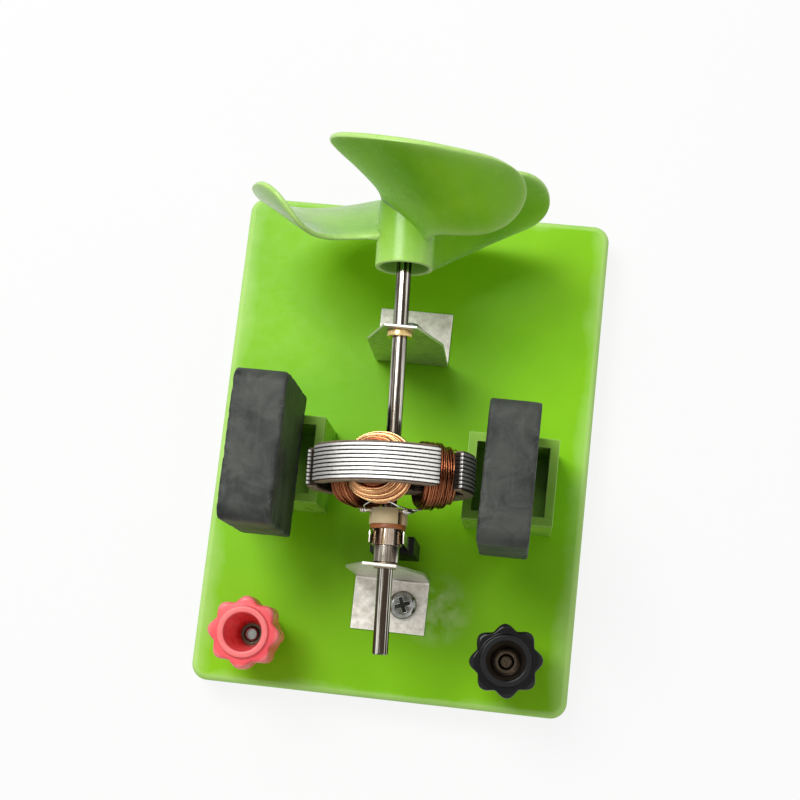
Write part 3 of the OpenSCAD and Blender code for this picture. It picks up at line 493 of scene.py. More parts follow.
@dataclass(frozen=True)
class Fibre:
    """Pressed insulating fibre."""

    name: str
    slot: str
    colour: Colour
    deep: Colour
    rough: float = 0.6

    def material(self) -> Material:
        """The finish as a material.

        Returns:
            The material.
        """
        paint = Paint(self.name)
        weave = paint.noise(5.0, 5.0, 0.7, 0.4, Grain.ACROSS_SHAFT)
        cloud = paint.span(paint.noise(0.9, 4.0, 0.65), 0.3, 0.7)
        body = paint.mix(cloud, self.colour, self.deep)
        return paint.finish(
            Base_Color=paint.mix(paint.span(weave, 0.55, 0.8, 0.0, 0.6), body, self.deep),
            Roughness=paint.span(weave, 0.3, 0.7, self.rough - 0.1, self.rough + 0.1),
            Normal=paint.bump(weave, 0.02))


class Look(Enum):
    """Every finish of the motor."""

    BASE = BasePlastic("lime_base", "green_plastic", (0.27, 0.64, 0.007), (0.2, 0.53, 0.004),
                       (0.62, 0.88, 0.33), 0.34, shine=0.13, edge_light_share=0.35, cloud_scale=0.03)
    FAN = Plastic("lime_fan", "green_plastic", (0.25, 0.57, 0.01), (0.16, 0.44, 0.004),
                  (0.62, 0.86, 0.32), 0.22, 0.2, 0.3, 0.3)
    HOLDER = Plastic("pale_green_holder", "pale_plastic", (0.33, 0.6, 0.07), (0.18, 0.42, 0.03),
                     (0.66, 0.88, 0.38), 0.3, 0.3)
    RED = Plastic("red_cap_plastic", "red_plastic", (0.94, 0.13, 0.14), (0.9, 0.09, 0.11),
                  (0.98, 0.36, 0.33), 0.28, 0.2, 0.35, edge_light_share=0.4)
    BLACK = Plastic("black_cap_plastic", "black_plastic", (0.005,) * 3, (0.003,) * 3,
                    (0.02,) * 3, 0.15, shine=0.14)
    BLOCK = Plastic("black_block_plastic", "black_plastic", (0.012,) * 3, (0.006,) * 3,
                    (0.07,) * 3, 0.42, shine=0.15)
    CREAM = Plastic("cream_hub", "cream_plastic", (0.72, 0.6, 0.36), (0.5, 0.37, 0.18),
                    (0.86, 0.8, 0.6), 0.45, 0.2)
    RED_WIRE = Plastic("red_insulation", "red_wire", (0.55, 0.03, 0.03), (0.42, 0.02, 0.02),
                       (0.8, 0.2, 0.18), 0.38)
    BLACK_WIRE = Plastic("black_insulation", "black_wire", (0.02,) * 3, (0.012,) * 3,
                         (0.08,) * 3, 0.4)
    FERRITE = PressedFerrite()
    COPPER = EnamelledCopper()
    LAMINATION = LaminationSteel()
    # Painted reflection: the shaft, collar and segments carry dark and bright streaks along the
    # grain.
    SHAFT = Metal("drawn_steel", "bright_steel", (0.9, 0.86, 0.76), (0.05, 0.037, 0.026), 0.14,
                  1.7, (0.41, 0.5), Grain.DRAWN, depth=0.002, cloudy=0.04)
    COLLAR = Metal("turned_steel", "bright_steel", (0.8, 0.76, 0.68), (0.14, 0.105, 0.075),
                   0.16, 1.2, (0.38, 0.55), Grain.DRAWN, cloudy=0.1)
    SHEET = Metal("zinc_sheet", "steel", (0.68, 0.65, 0.59), (0.42, 0.39, 0.33), 0.4, 0.9,
                  depth=0.012, spots=0.35)
    SCREW = Metal("plated_screw", "steel", (0.3, 0.3, 0.285), (0.14, 0.14, 0.13), 0.12, 1.2,
                  (0.4, 0.7))
    SEGMENT = Metal("commutator_metal", "bright_steel", (0.82, 0.72, 0.58), (0.15, 0.06, 0.03),
                    0.14, 1.1, (0.42, 0.58), Grain.DRAWN, spots=0.2, cloudy=0.1)
    BRASS = Metal("turned_brass", "brass", (0.84, 0.62, 0.28), (0.5, 0.33, 0.12), 0.22, 1.6,
                  (0.4, 0.75), worn=(0.95, 0.82, 0.5))
    # Painted shade: the front bush, the caps' inserts and the black stud are coloured near black,
    # for the shade beside the collar and inside the caps' mouths.
    DULL_BUSH = Metal("dull_bush", "brass", (0.3, 0.24, 0.17), (0.12, 0.09, 0.06), 0.3, 1.6,
                      (0.4, 0.75), worn=(0.5, 0.44, 0.34))
    DARK_INSERT = Metal("dark_insert", "brass", (0.1, 0.075, 0.05), (0.045, 0.033, 0.024), 0.3,
                        1.6, (0.4, 0.75), worn=(0.22, 0.18, 0.13))
    STRIP = Metal("brush_strip", "spring_metal", (0.95, 0.92, 0.82), (0.7, 0.62, 0.46), 0.2,
                  2.0, (0.4, 0.75), Grain.UPRIGHT)
    SOLDER = Metal("solder", "bright_steel", (0.85, 0.84, 0.8), (0.4, 0.37, 0.32), 0.2, 1.5,
                   (0.4, 0.7), depth=0.02)
    SHEET_FIBRE = Fibre("grey_brown_fibre", "fibre", (0.27, 0.19, 0.13), (0.13, 0.09, 0.06))
    RING_FIBRE = Fibre("orange_fibre", "orange_fibre", (0.46, 0.15, 0.035), (0.2, 0.06, 0.02),
                       0.45)


# ------------------------------------------------------------------ shapes


def add_object(name: str, data: bpy.types.ID) -> Piece:
    """Put an object with its data into the scene.

    Args:
        name: The object's name.
        data: Its data.

    Returns:
        The object.
    """
    piece = bpy.data.objects.new(name, data)
    bpy.context.scene.collection.objects.link(piece)
    return piece


def mesh_object(name: str, points: Points | Sequence, faces: Faces,
                place: Matrix = STILL) -> Piece:
    """Make a mesh object at the origin from points in millimetres.

    Args:
        name: The piece's name.
        points: Points in the piece's own frame.
        faces: Faces as tuples of point numbers.
        place: Where the piece's frame stands, in millimetres.

    Returns:
        The object, linked to the scene.
    """
    grid = np.array(place)
    spots = np.asarray(points, float) @ grid[:3, :3].T + grid[:3, 3]
    mesh = bpy.data.meshes.new(name)
    mesh.from_pydata((spots * MM).tolist(), [], faces)
    return add_object(name, mesh)


def shape_object(name: str, shape: Shape) -> Piece:
    """Turn a shape into a piece, and free it.

    Args:
        name: The piece's name.
        shape: The shape.

    Returns:
        The piece.
    """
    mesh = bpy.data.meshes.new(name)
    shape.to_mesh(mesh)
    shape.free()
    return add_object(name, mesh)


def mark(piece: Piece, name: str, values: Sequence[float]) -> None:
    """Store a number on each point of a piece, for its finish or its recipe."""
    row = piece.data.attributes.new(name, "FLOAT", "POINT")
    row.data.foreach_set("value", list(values))


def close_up(piece: Piece) -> Piece:
    """Merge a piece's doubles, drop its empty faces and turn every face outwards.

    Args:
        piece: The piece.

    Returns:
        The piece.
    """
    shape = bmesh.new()
    shape.from_mesh(piece.data)
    bmesh.ops.remove_doubles(shape, verts=shape.verts, dist=1e-7)
    bmesh.ops.dissolve_degenerate(shape, edges=shape.edges, dist=1e-8)
    bmesh.ops.recalc_face_normals(shape, faces=shape.faces)
    shape.to_mesh(piece.data)
    shape.free()
    return piece


def smooth(piece: Piece, angle: float = 34.0, weighted: bool = True) -> Piece:
    """Shade a piece smooth up to an angle.

    Args:
        piece: The piece.
        angle: The largest angle in degrees that still looks smooth.
        weighted: Whether large faces keep their own direction.

    Returns:
        The piece.
    """
    piece.data.polygons.foreach_set("use_smooth", [True] * len(piece.data.polygons))
    piece.data.set_sharp_from_angle(angle=math.radians(angle))
    if weighted:
        piece.modifiers.new("even", "WEIGHTED_NORMAL").keep_sharp = True
        settle(piece)
    return piece


def settle(piece: Piece) -> Piece:
    """Turn a piece and its modifiers into one plain mesh.

    Args:
        piece: The piece.

    Returns:
        The piece.
    """
    graph = bpy.context.evaluated_depsgraph_get()
    mesh = bpy.data.meshes.new_from_object(
        piece.evaluated_get(graph), preserve_all_data_layers=True, depsgraph=graph)
    old = piece.data
    piece.modifiers.clear()
    piece.data = mesh
    mesh.name = piece.name
    bpy.data.meshes.remove(old)
    return piece


def rounded(points: Sequence[Point2], radii: Sequence[float], steps: int = 3) -> list[Point2]:
    """Round the corners of a flat outline.

    Args:
        points: The outline's corners in order.
        radii: How far each rounding reaches along its two sides, or 0 for a sharp corner.
        steps: Steps in each rounding.

    Returns:
        The outline with its corners rounded.
    """
    result: list[Point2] = []
    corners = [np.array(point, float) for point in points]
    for number, here in enumerate(corners):
        sides = [corners[number - 1] - here, corners[(number + 1) % len(corners)] - here]
        long = [np.linalg.norm(side) for side in sides]
        reach = min(radii[number], 0.48 * long[0], 0.48 * long[1])
        if reach <= 0:
            result.append(tuple(here))
            continue
        start, end = (here + side / size * reach for side, size in zip(sides, long))
        for step in range(steps + 1):
            t = step / steps
            result.append(tuple((1 - t) ** 2 * start + 2 * t * (1 - t) * here + t * t * end))
    return result


def bands(rows: int, steps: int, ring: bool = False) -> Faces:
    """Faces between rows of points that run round an axis.

    Args:
        rows: Number of rows.
        steps: Points in a row.
        ring: Whether the last row joins the first one.

    Returns:
        The faces.
    """
    return [(row * steps + step, row * steps + (step + 1) % steps,
             (row + 1) % rows * steps + (step + 1) % steps, (row + 1) % rows * steps + step)
            for row in range(rows if ring else rows - 1) for step in range(steps)]


def lathe(name: str, profile: Sequence[Point2], place: Matrix, steps: int = 64,
          ring: bool = True, radius: Callable[[float, float, int], float] | None = None) -> Piece:
    """Turn a profile of (radius, height) round Z.

    Args:
        name: The piece's name.
        profile: The profile's points.
        place: Where the piece's frame stands.
        steps: Steps round the axis.
        ring: Whether the profile closes on itself; otherwise its ends lie on the axis.
        radius: Gives the radius at (radius, angle, point number), where it isn't even.

    Returns:
        The turned piece.
    """
    points = []
    for number, (reach, height) in enumerate(profile):
        for step in range(steps):
            angle = math.tau * step / steps
            out = radius(reach, angle, number) if radius else reach
            points.append((out * math.cos(angle), out * math.sin(angle), height))
    return close_up(mesh_object(name, points, bands(len(profile), steps, ring), place))


def turned_ring(name: str, radii: Point2, heights: Point2, place: Matrix, edge: float = 0.12,
                steps: int = 64) -> Piece:
    """A plain ring between two radii and two heights, with rounded edges.

    Args:
        name: The piece's name.
        radii: Its inner and outer radius.
        heights: Its lower and upper height.
        place: Where the piece's frame stands.
        edge: How far its rounding reaches.
        steps: Steps round the axis.

    Returns:
        The ring.
    """
    (inner, outer), (low, high) = radii, heights
    profile = rounded([(inner, low), (outer, low), (outer, high), (inner, high)], [edge] * 4)
    return smooth(lathe(name, profile, place, steps))


def softened(node: str, width: float, steps: int = 2, name: str = "", first_only: bool = False,
             wide: tuple[float, int, EdgeTest] | None = None) -> Piece:
    """A copy of a CAD node with rounded edges, which are marked as edge for the finish.

    Args:
        node: The CAD node.
        width: Width of the rounding in millimetres.
        steps: Steps in the rounding.
        name: The piece's name, or the node's own with _shown.
        first_only: Whether only the node's first separate solid is kept.
        wide: Width, steps and test of a wider rounding that is made first.

    Returns:
        The new piece.
    """
    shape = bmesh.new()
    shape.from_mesh(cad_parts[node].data)
    bmesh.ops.remove_doubles(shape, verts=shape.verts, dist=2e-6)
    bmesh.ops.dissolve_limit(shape, angle_limit=math.radians(0.4), verts=shape.verts[:],
                             edges=shape.edges[:])
    if first_only:
        keep_first_solid(shape)
    rim: set[bmesh.types.BMFace] = set()
    for reach, count, chosen in filter(None, (wide, (width, steps, lambda edge: True))):
        sharp = [edge for edge in shape.edges
                 if len(edge.link_faces) == 2 and edge.is_convex
                 and edge.calc_face_angle() > math.radians(32) and chosen(edge)]
        rim |= set(bmesh.ops.bevel(shape, geom=sharp, offset=reach * MM, segments=count,
                                   offset_type="OFFSET", profile=0.5, affect="EDGES",
                                   clamp_overlap=True)["faces"])
    edge_mark = shape.verts.layers.float.new("edge")
    for vert in shape.verts:
        vert[edge_mark] = float(all(face in rim for face in vert.link_faces))
    return smooth(shape_object(name or f"{node}_shown", shape))


def keep_first_solid(shape: Shape) -> None:
    """Delete every separate solid of a shape but the first.

    Args:
        shape: The shape, changed in place.
    """
    seen: set[bmesh.types.BMVert] = set()
    front = shape.verts[:1]
    while front:
        vert = front.pop()
        if vert not in seen:
            seen.add(vert)
            front += [edge.other_vert(vert) for edge in vert.link_edges]
    bmesh.ops.delete(shape, geom=[vert for vert in shape.verts if vert not in seen],
                     context="VERTS")


def smooth_path(points: Sequence[Sequence[float]], steps: int) -> Points:
    """A smooth path through a few points.

    Args:
        points: The points.
        steps: Steps between two points.

    Returns:
        The path's points.
    """
    spots = [np.array(point, float) for point in points]
    path = []
    for number in range(len(spots) - 1):
        a, b = spots[max(number - 1, 0)], spots[number]
        c, d = spots[number + 1], spots[min(number + 2, len(spots) - 1)]
        for step in range(steps):
            t = step / steps
            path.append((2 * b + (c - a) * t + (2 * a - 5 * b + 4 * c - d) * t ** 2
                         + (3 * b - a - 3 * c + d) * t ** 3) / 2)
    return np.array([*path, spots[-1]])


def joined(name: str, pieces: Sequence[Piece]) -> Piece:
    """One piece from several, each of which is removed.

    Args:
        name: The new piece's name.
        pieces: The pieces.

    Returns:
        The new piece.
    """
    shape = bmesh.new()
    for piece in pieces:
        shape.from_mesh(piece.data)
        bpy.data.objects.remove(piece)
    return shape_object(name, shape)


def blob(name: str, centre: Sequence[float], size: Point3, place: Matrix, seed: int) -> Piece:
    """A lumpy drop, such as a bead of solder.

    Args:
        name: The piece's name.
        centre: The drop's centre.
        size: Its three half widths.
        place: Where the piece's frame stands.
        seed: Picks the lumps.

    Returns:
        The drop.
    """
    shape = bmesh.new()
    bmesh.ops.create_icosphere(shape, subdivisions=3, radius=1.0)
    points = []
    for vert in shape.verts:
        swell = 1 + 0.16 * noise.noise(vert.co * 1.7 + Vector((seed * 3.1, 0, seed)))
        points.append([at + out * half * swell for at, out, half in zip(centre, vert.co, size)])
    faces = [tuple(vert.index for vert in face.verts) for face in shape.faces]
    shape.free()
    return smooth(mesh_object(name, points, faces, place), 180, False)


class Recipe(Graph):
    """A geometry node tree with named inputs, run on a piece and made a plain mesh."""

    def __init__(self, name: str, **inputs: str) -> None:
        """Start a tree.

        Args:
            name: The tree's name.
            **inputs: Socket types by input name, with _ for a space.
        """
        super().__init__(bpy.data.node_groups.new(name, "GeometryNodeTree"))
        board = self.tree.interface
        board.new_socket("Geometry", in_out="INPUT", socket_type="NodeSocketGeometry")
        self.names = {}
        for key, kind in (inputs | {"Finish": "Material"}).items():
            socket = board.new_socket(key.replace("_", " "), in_out="INPUT",
                                      socket_type=f"NodeSocket{kind}")
            self.names[key] = socket.identifier
        board.new_socket("Geometry", in_out="OUTPUT", socket_type="NodeSocketGeometry")
        self.entry = self.add("NodeGroupInput").outputs
        self.exit = self.add("NodeGroupOutput").inputs

    def turned(self, points: Socket, instance: Socket, **angle: Socket) -> Socket:
        """Copies of an instance on points, turned by an angle about the axis that it names.

        Args:
            points: The points.
            instance: What is copied.
            **angle: The angle in radians, under its axis's name.

        Returns:
            The copies.
        """
        about = self.add("ShaderNodeCombineXYZ", **angle)
        euler = self.add("FunctionNodeEulerToRotation", Euler=about.outputs[0])
        return self.add("GeometryNodeInstanceOnPoints", Points=points, Instance=instance,
                        Rotation=euler.outputs[0]).outputs[0]

    def close(self, shape: Socket, even: bool = True) -> None:
        """End the tree in plain geometry with its finish, shaded smooth where even is set.

        Args:
            shape: The geometry.
            even: Whether all of it is shaded smooth.
        """
        if even:
            shape = self.add("GeometryNodeSetShadeSmooth", Geometry=shape).outputs[0]
        plain = self.add("GeometryNodeRealizeInstances", Geometry=shape)
        dressed = self.add("GeometryNodeSetMaterial", Geometry=plain.outputs[0],
                           Material=self.entry["Finish"])
        self.feed(self.exit[0], dressed.outputs[0])

    def run(self, piece: Piece, **values: float | Piece | Material) -> Piece:
        """Run the tree on a piece.

        Args:
            piece: The piece.
            **values: Input values by name, with _ for a space.

        Returns:
            The piece, as a plain mesh.
        """
        modifier = piece.modifiers.new("recipe", "NODES")
        modifier.node_group = self.tree
        for key, value in values.items():
            modifier[self.names[key]] = value
        return settle(piece)


class WireRecipe(Recipe):
    """A round wire along a path."""

    def __init__(self) -> None:
        """Build the tree."""
        super().__init__("wire_along_path", Wire_Radius="Float", Wire_Sides="Int")
        line = self.add("GeometryNodeMeshToCurve", Mesh=self.entry["Geometry"])
        disc = self.add("GeometryNodeCurvePrimitiveCircle", Resolution=self.entry["Wire Sides"],
                        Radius=self.entry["Wire Radius"])
        self.close(self.add("GeometryNodeCurveToMesh", Curve=line.outputs[0],
                            Profile_Curve=disc.outputs[0], Fill_Caps=True).outputs[0])

    def wire(self, name: str, path: Points, diameter: float, finish: Material,
             place: Matrix = STILL, sides: int = 8, tones: Sequence[float] = ()) -> Piece:
        """Draw one wire.

        Args:
            name: The piece's name.
            path: The wire's path in millimetres.
            diameter: The wire's diameter in millimetres.
            finish: The wire's material.
            place: Where the path's frame stands.
            sides: Sides of the wire.
            tones: A number for each point, kept as turn for the finish.

        Returns:
            The wire.
        """
        piece = mesh_object(name, path, [], place)
        piece.data.edges.add(len(path) - 1)
        piece.data.edges.foreach_set(
            "vertices", [end for k in range(len(path) - 1) for end in (k, k + 1)])
        if len(tones):
            mark(piece, "turn", tones)
        return self.run(piece, Wire_Radius=diameter / 2 * MM, Wire_Sides=sides, Finish=finish)


class CopiesRecipe(Recipe):
    """Copies of a pattern on a few points, each turned about Z."""

    def __init__(self) -> None:
        """Build the tree."""
        super().__init__("copies_on_points", Pattern="Object")
        pattern = self.add("GeometryNodeObjectInfo", Object=self.entry["Pattern"])
        turn = self.add("GeometryNodeInputNamedAttribute", data_type="FLOAT", Name="turn")
        self.close(self.turned(self.entry["Geometry"], pattern.outputs["Geometry"],
                               Z=turn.outputs[0]), False)

    def copies(self, node: str, edge: float, spots: Sequence[Sequence[float]],
               turns: Sequence[float], finish: Material, recess: Point2 | None) -> Piece:
        """Copies of the first solid of a CAD node, on each place that the node's solids have.

        Args:
            node: The CAD node, whose first solid stands on one of the places.
            edge: Width of its rounded edges in millimetres.
            spots: The places in millimetres.
            turns: How far each copy is turned about Z, in degrees.
            finish: The material.
            recess: Reach and least depth below the top of the recess in it, if it has one.

        Returns:
            The copies as one mesh.
        """
        pattern = softened(node, edge, name=f"{node}_pattern", first_only=True)
        grid = np.array([vert.co for vert in pattern.data.vertices])
        middle = (grid.min(0) + grid.max(0)) / 2 / MM
        first = min(spots, key=lambda spot: math.dist(spot[:2], middle[:2]))
        # The deep points round the middle are marked as recess, which the finish paints as shade.
        if recess:
            reach = np.hypot(grid[:, 0] / MM - first[0], grid[:, 1] / MM - first[1])
            deep = grid[:, 2] / MM < grid[:, 2].max() / MM - recess[1]
            mark(pattern, "recess", (reach < recess[0]) & deep)
        pattern.data.transform(Matrix.Translation([-value * MM for value in first]))
        piece = mesh_object(f"{node}_shown", spots, [])
        mark(piece, "turn", [math.radians(turn) for turn in turns])
        self.run(piece, Pattern=pattern, Finish=finish)
        bpy.data.objects.remove(pattern)
        return piece


class SpinRecipe(Recipe):
    """Copies of a piece spaced evenly round its own Y axis."""

    def __init__(self) -> None:
        """Build the tree."""
        super().__init__("copies_round_axis", Count="Int")
        line = self.add("GeometryNodeMeshLine", Count=self.entry["Count"], Offset=(0, 0, 0))
        number = self.add("GeometryNodeInputIndex").outputs[0]
        turn = self.times(self.sums("DIVIDE", number, self.entry["Count"]), math.tau)
        self.close(self.turned(line.outputs[0], self.entry["Geometry"], Y=turn))


@dataclass
class Workshop:
    """What the sub-assemblies share: recipes, the materials made and a count of pieces."""

    wires: WireRecipe = field(default_factory=WireRecipe)
    copies: CopiesRecipe = field(default_factory=CopiesRecipe)
    spin: SpinRecipe = field(default_factory=SpinRecipe)
    materials: dict[Look, Material] = field(default_factory=dict)
    made: int = 0

    def material(self, look: Look) -> Material:
        """The material of a finish, made when it is first asked for.

        Args:
            look: The finish.

        Returns:
            Its material.
        """
        if look not in self.materials:
            self.materials[look] = look.value.material()
        return self.materials[look]


@dataclass
class Assembly:
    """A sub-assembly, whose pieces are dressed and set on their bodies."""

    shop: Workshop

    def hand_over(self, piece: Piece, look: Look, *nodes: str, body: Body = Body.BASE,
                  slot: str = "") -> None:
        """Dress a piece, set it on its body and let it stand for CAD nodes.

        Args:
            piece: The piece.
            look: Its finish.
            *nodes: The CAD nodes that it stands for.
            body: The body that it moves with.
            slot: Not used.
        """
        piece.data.materials.clear()
        piece.data.materials.append(self.shop.material(look))
        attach(piece, body.value)
        if nodes:
            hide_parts(*nodes)
        self.shop.made += 1
        LOG.info("%-28s on %-12s %6d faces", piece.name, body.value, len(piece.data.polygons))

    def soften(self, node: str, width: float, look: Look, body: Body = Body.BASE,
               steps: int = 2) -> None:
        """Hand over a CAD node's own shape, with its edges rounded to a width."""
        self.hand_over(softened(node, width, steps), look, node, body=body)

    def copy_out(self, node: str, edge: float, spots: Sequence[Sequence[float]],
                 turns: Sequence[float], look: Look = Look.SCREW,
                 recess: Point2 | None = None) -> None:
        """Hand over copies of a node's first solid, as CopiesRecipe.copies makes them.

        Args:
            node: The CAD node.
            edge: Width of the copies' rounded edges.
            spots: The places in millimetres.
            turns: How far each copy is turned, in degrees.
            look: Their finish.
            recess: Reach and least depth of their recess.
        """
        piece = self.shop.copies.copies(node, edge, spots, turns, self.shop.material(look), recess)
        self.hand_over(piece, look, node)


# ------------------------------------------------------------------ base


@dataclass
class BasePlate(Assembly):
    """The moulded base, with its soft top rim."""

    rim: float = 1.5
    rim_band: float = 4.0

    def build(self) -> None:
        """Make the base."""
        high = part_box("base_plate")[1]

        def on_top_rim(edge: bmesh.types.BMEdge) -> bool:
            """Whether an edge runs round the top face."""
            return all(vert.co.z > (BASE_TOP - 0.01) * MM
                       and (abs(vert.co.x) > high.x - self.rim_band * MM
                            or abs(vert.co.y) > high.y - self.rim_band * MM)
                       for vert in edge.verts)

        self.hand_over(softened("base_plate", 0.3, wide=(self.rim, 5, on_top_rim)), Look.BASE,
                       "base_plate")


@dataclass
class MagnetMounts(Assembly):
    """The two holders, the magnets on them and the screws below."""

    magnet_x: float = 24.0
    holder_y: float = -6.83
    screw_span: float = 9.0
    plate_under: float = 7.5
    voxel: float = 0.36
    edge_reach: float = 0.35
    chip_depth: float = 0.66

    def build(self) -> None:
        """Make the holders, magnets and screws."""
        for number, side in enumerate(("left", "right")):
            self.soften(f"{side}_magnet_holder", 0.35, Look.HOLDER, steps=3)
            self.hand_over(self.magnet(f"{side}_magnet", number), Look.FERRITE, f"{side}_magnet")
        spots = [(x * self.magnet_x, self.holder_y + y * self.screw_span / 2, self.plate_under)
                 for x in (-1, 1) for y in (-1, 1)]
        self.copy_out("holder_screws", 0.12, spots, (0, 35, 12, 61))

    def magnet(self, node: str, seed: int) -> Piece:
        """A magnet with uneven faces and chipped edges.

        Args:
            node: The magnet's CAD node.
            seed: Picks its chips.

        Returns:
            The magnet.
        """
        piece = softened(node, 0.45, 3)
        fine = piece.modifiers.new("fine", "REMESH")
        fine.mode = "VOXEL"
        fine.voxel_size = self.voxel * MM
        settle(piece)
        low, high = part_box(node)
        centre, half = (low + high) / 2, (high - low) / 2
        marks = []
        verts = piece.data.vertices
        for vert, normal in zip(verts, [vert.normal.copy() for vert in verts]):
            gaps = sorted((half[axis] - abs(vert.co[axis] - centre[axis])) / MM
                          for axis in range(3))
            near = math.exp(-max(gaps[0] + gaps[1] - self.edge_reach, 0) / self.edge_reach)
            spot = vert.co / MM + Vector((seed * 40, 0, 0))
            chip = max(0.0, noise.noise(spot * 0.75) - 0.05) * self.chip_depth * near
            dent = 0.035 * noise.noise(spot * 0.22) + 0.012 * noise.noise(spot * 1.3)
            vert.co -= normal * (chip + max(dent, 0.0)) * MM
            marks.append(min(1.0, near * (0.35 + 2.5 * chip)))
        mark(piece, "edge", marks)
        return smooth(piece, 180, False)


# ------------------------------------------------------------------ bearings


@dataclass
class Bearings(Assembly):
    """The two brackets with their bushes and foot screws."""

    front_plate: float = -27.58
    rear_plate: float = 18.67
    sheet: float = 0.6
    bore: float = 1.55
    barrel: float = 2.2
    flange: float = 2.575
    seat: float = 0.126
    lip: float = 0.2
    screw_reach: float = 5.9
    screw_shifts: Point2 = (1.9, -0.5)
    screw_recess: Point2 = (1.75, 0.5)

    def build(self) -> None:
        """Make the brackets, bushes and screws."""
        for end in ("front", "rear"):
            self.soften(f"{end}_bracket", 0.16, Look.SHEET, steps=3)
        # Painted shade: the front bush is dark, for the shade beside the collar.
        self.bush("front_bush", self.front_plate, -1, 0.35, Look.DULL_BUSH)
        self.bush("rear_bush", self.rear_plate, 1, 1.3, Look.BRASS)
        level = BASE_TOP - DRIVE_ORIGIN[2] + self.sheet
        square = Matrix.Rotation(-math.radians(DRIVE_SKEW), 4, "Z")
        spots = [tuple(DRIVE @ Matrix.Translation((0, plate, level)) @ square
                       @ Vector((shift, way * self.screw_reach, 0)))
                 for plate, way, shift in ((self.front_plate, -1, self.screw_shifts[0]),
                                           (self.rear_plate, 1, self.screw_shifts[1]))]
        self.copy_out("bracket_screws", 0.14, spots, (22, -8), recess=self.screw_recess)

    def bush(self, node: str, plate: float, way: int, reach: float, look: Look) -> None:
        """Make one turned bush.

        Args:
            node: The bush's CAD node.
            plate: Place of the bracket's rotor side along the shaft.
            way: 1 where the barrel runs to the rear, and -1 to the front.
            reach: How far the flange reaches towards the rotor.
            look: The bush's finish.
        """
        end = self.sheet + self.lip
        profile = rounded(
            [(self.bore, -reach), (self.flange, -reach), (self.flange, -self.seat),
             (self.barrel, -self.seat), (self.barrel, end), (self.bore, end)],
            [0.1, 0.1, 0.06, 0, 0.1, 0.12])
        profile = [(out, height * way + plate) for out, height in profile]
        self.hand_over(smooth(lathe(f"{node}_shown", profile, SHAFT, 72)), look, node)


# ------------------------------------------------------------------ rotor


@dataclass
class DriveShaft(Assembly):
    """The shaft, with its broken end edges, and the spacer collar."""

    front: float = -44.78
    rear: float = 44.02
    collar: Point2 = (-27.18, -23.89)
    collar_radius: float = 2.5

    def build(self) -> None:
        """Make the shaft and the collar."""
        profile = rounded([(0, self.front), (SHAFT_RADIUS, self.front),
                           (SHAFT_RADIUS, self.rear), (0, self.rear)], [0, 0.35, 0.35, 0], 4)
        self.hand_over(smooth(lathe("shaft_shown", profile, SHAFT, 72, ring=False)), Look.SHAFT,
                       "shaft", body=Body.ROTOR)
        collar = turned_ring("spacer_collar_shown", (SHAFT_RADIUS, self.collar_radius),
                             self.collar, SHAFT, 0.14)
        self.hand_over(collar, Look.COLLAR, "spacer_collar", body=Body.ROTOR)


@dataclass
class Commutator(Assembly):
    """Segments, insulating ring and hub, with solder on the tabs."""

    ring_radii: Point2 = (3.0, 3.5)
    ring_span: Point2 = (-20.74, -19.84)
    bead_at: Point3 = (0.05, -17.38, 5.35)
    bead_size: Point3 = (0.78, 0.42, 0.62)

    def build(self) -> None:
        """Make the commutator's pieces."""
        for number in range(1, POLE_COUNT + 1):
            self.soften(f"commutator_segment_{number}", 0.07, Look.SEGMENT, Body.ROTOR)
            turn = (number - 0.5) * 360 / POLE_COUNT - POLE_TURN
            place = DRIVE @ Matrix.Rotation(math.radians(turn), 4, "Y")
            bead = blob(f"tab_solder_{number}", self.bead_at, self.bead_size, place, number)
            self.hand_over(bead, Look.SOLDER, body=Body.ROTOR)
        ring = turned_ring("insulating_ring_shown", self.ring_radii, self.ring_span, SHAFT)
        self.hand_over(ring, Look.RING_FIBRE, "insulating_ring", body=Body.ROTOR)
        self.soften("commutator_hub", 0.18, Look.CREAM, Body.ROTOR)


@dataclass
class Stack(Assembly):
    """The laminations and the insulating sheets on the stack's ends."""

    count: int = 9

    def build(self) -> None:
        """Make the laminations and sheets."""
        for number in range(1, self.count + 1):
            self.soften(f"lamination_{number}", 0.15, Look.LAMINATION, Body.ROTOR)
        for end in ("front", "rear"):
            self.soften(f"{end}_insulating_sheet", 0.1, Look.SHEET_FIBRE, Body.ROTOR)


@dataclass(frozen=True)
class Layer:
    """One layer of wire, with its unevenness and tilt in millimetres.

    A layer lies inset inside the winding's outline, and it climbs out along the pole
    where upward is set.
    """

    turns: int
    inset: float
    upward: bool
    jitter: float
    tilt: float
    tones: Point2


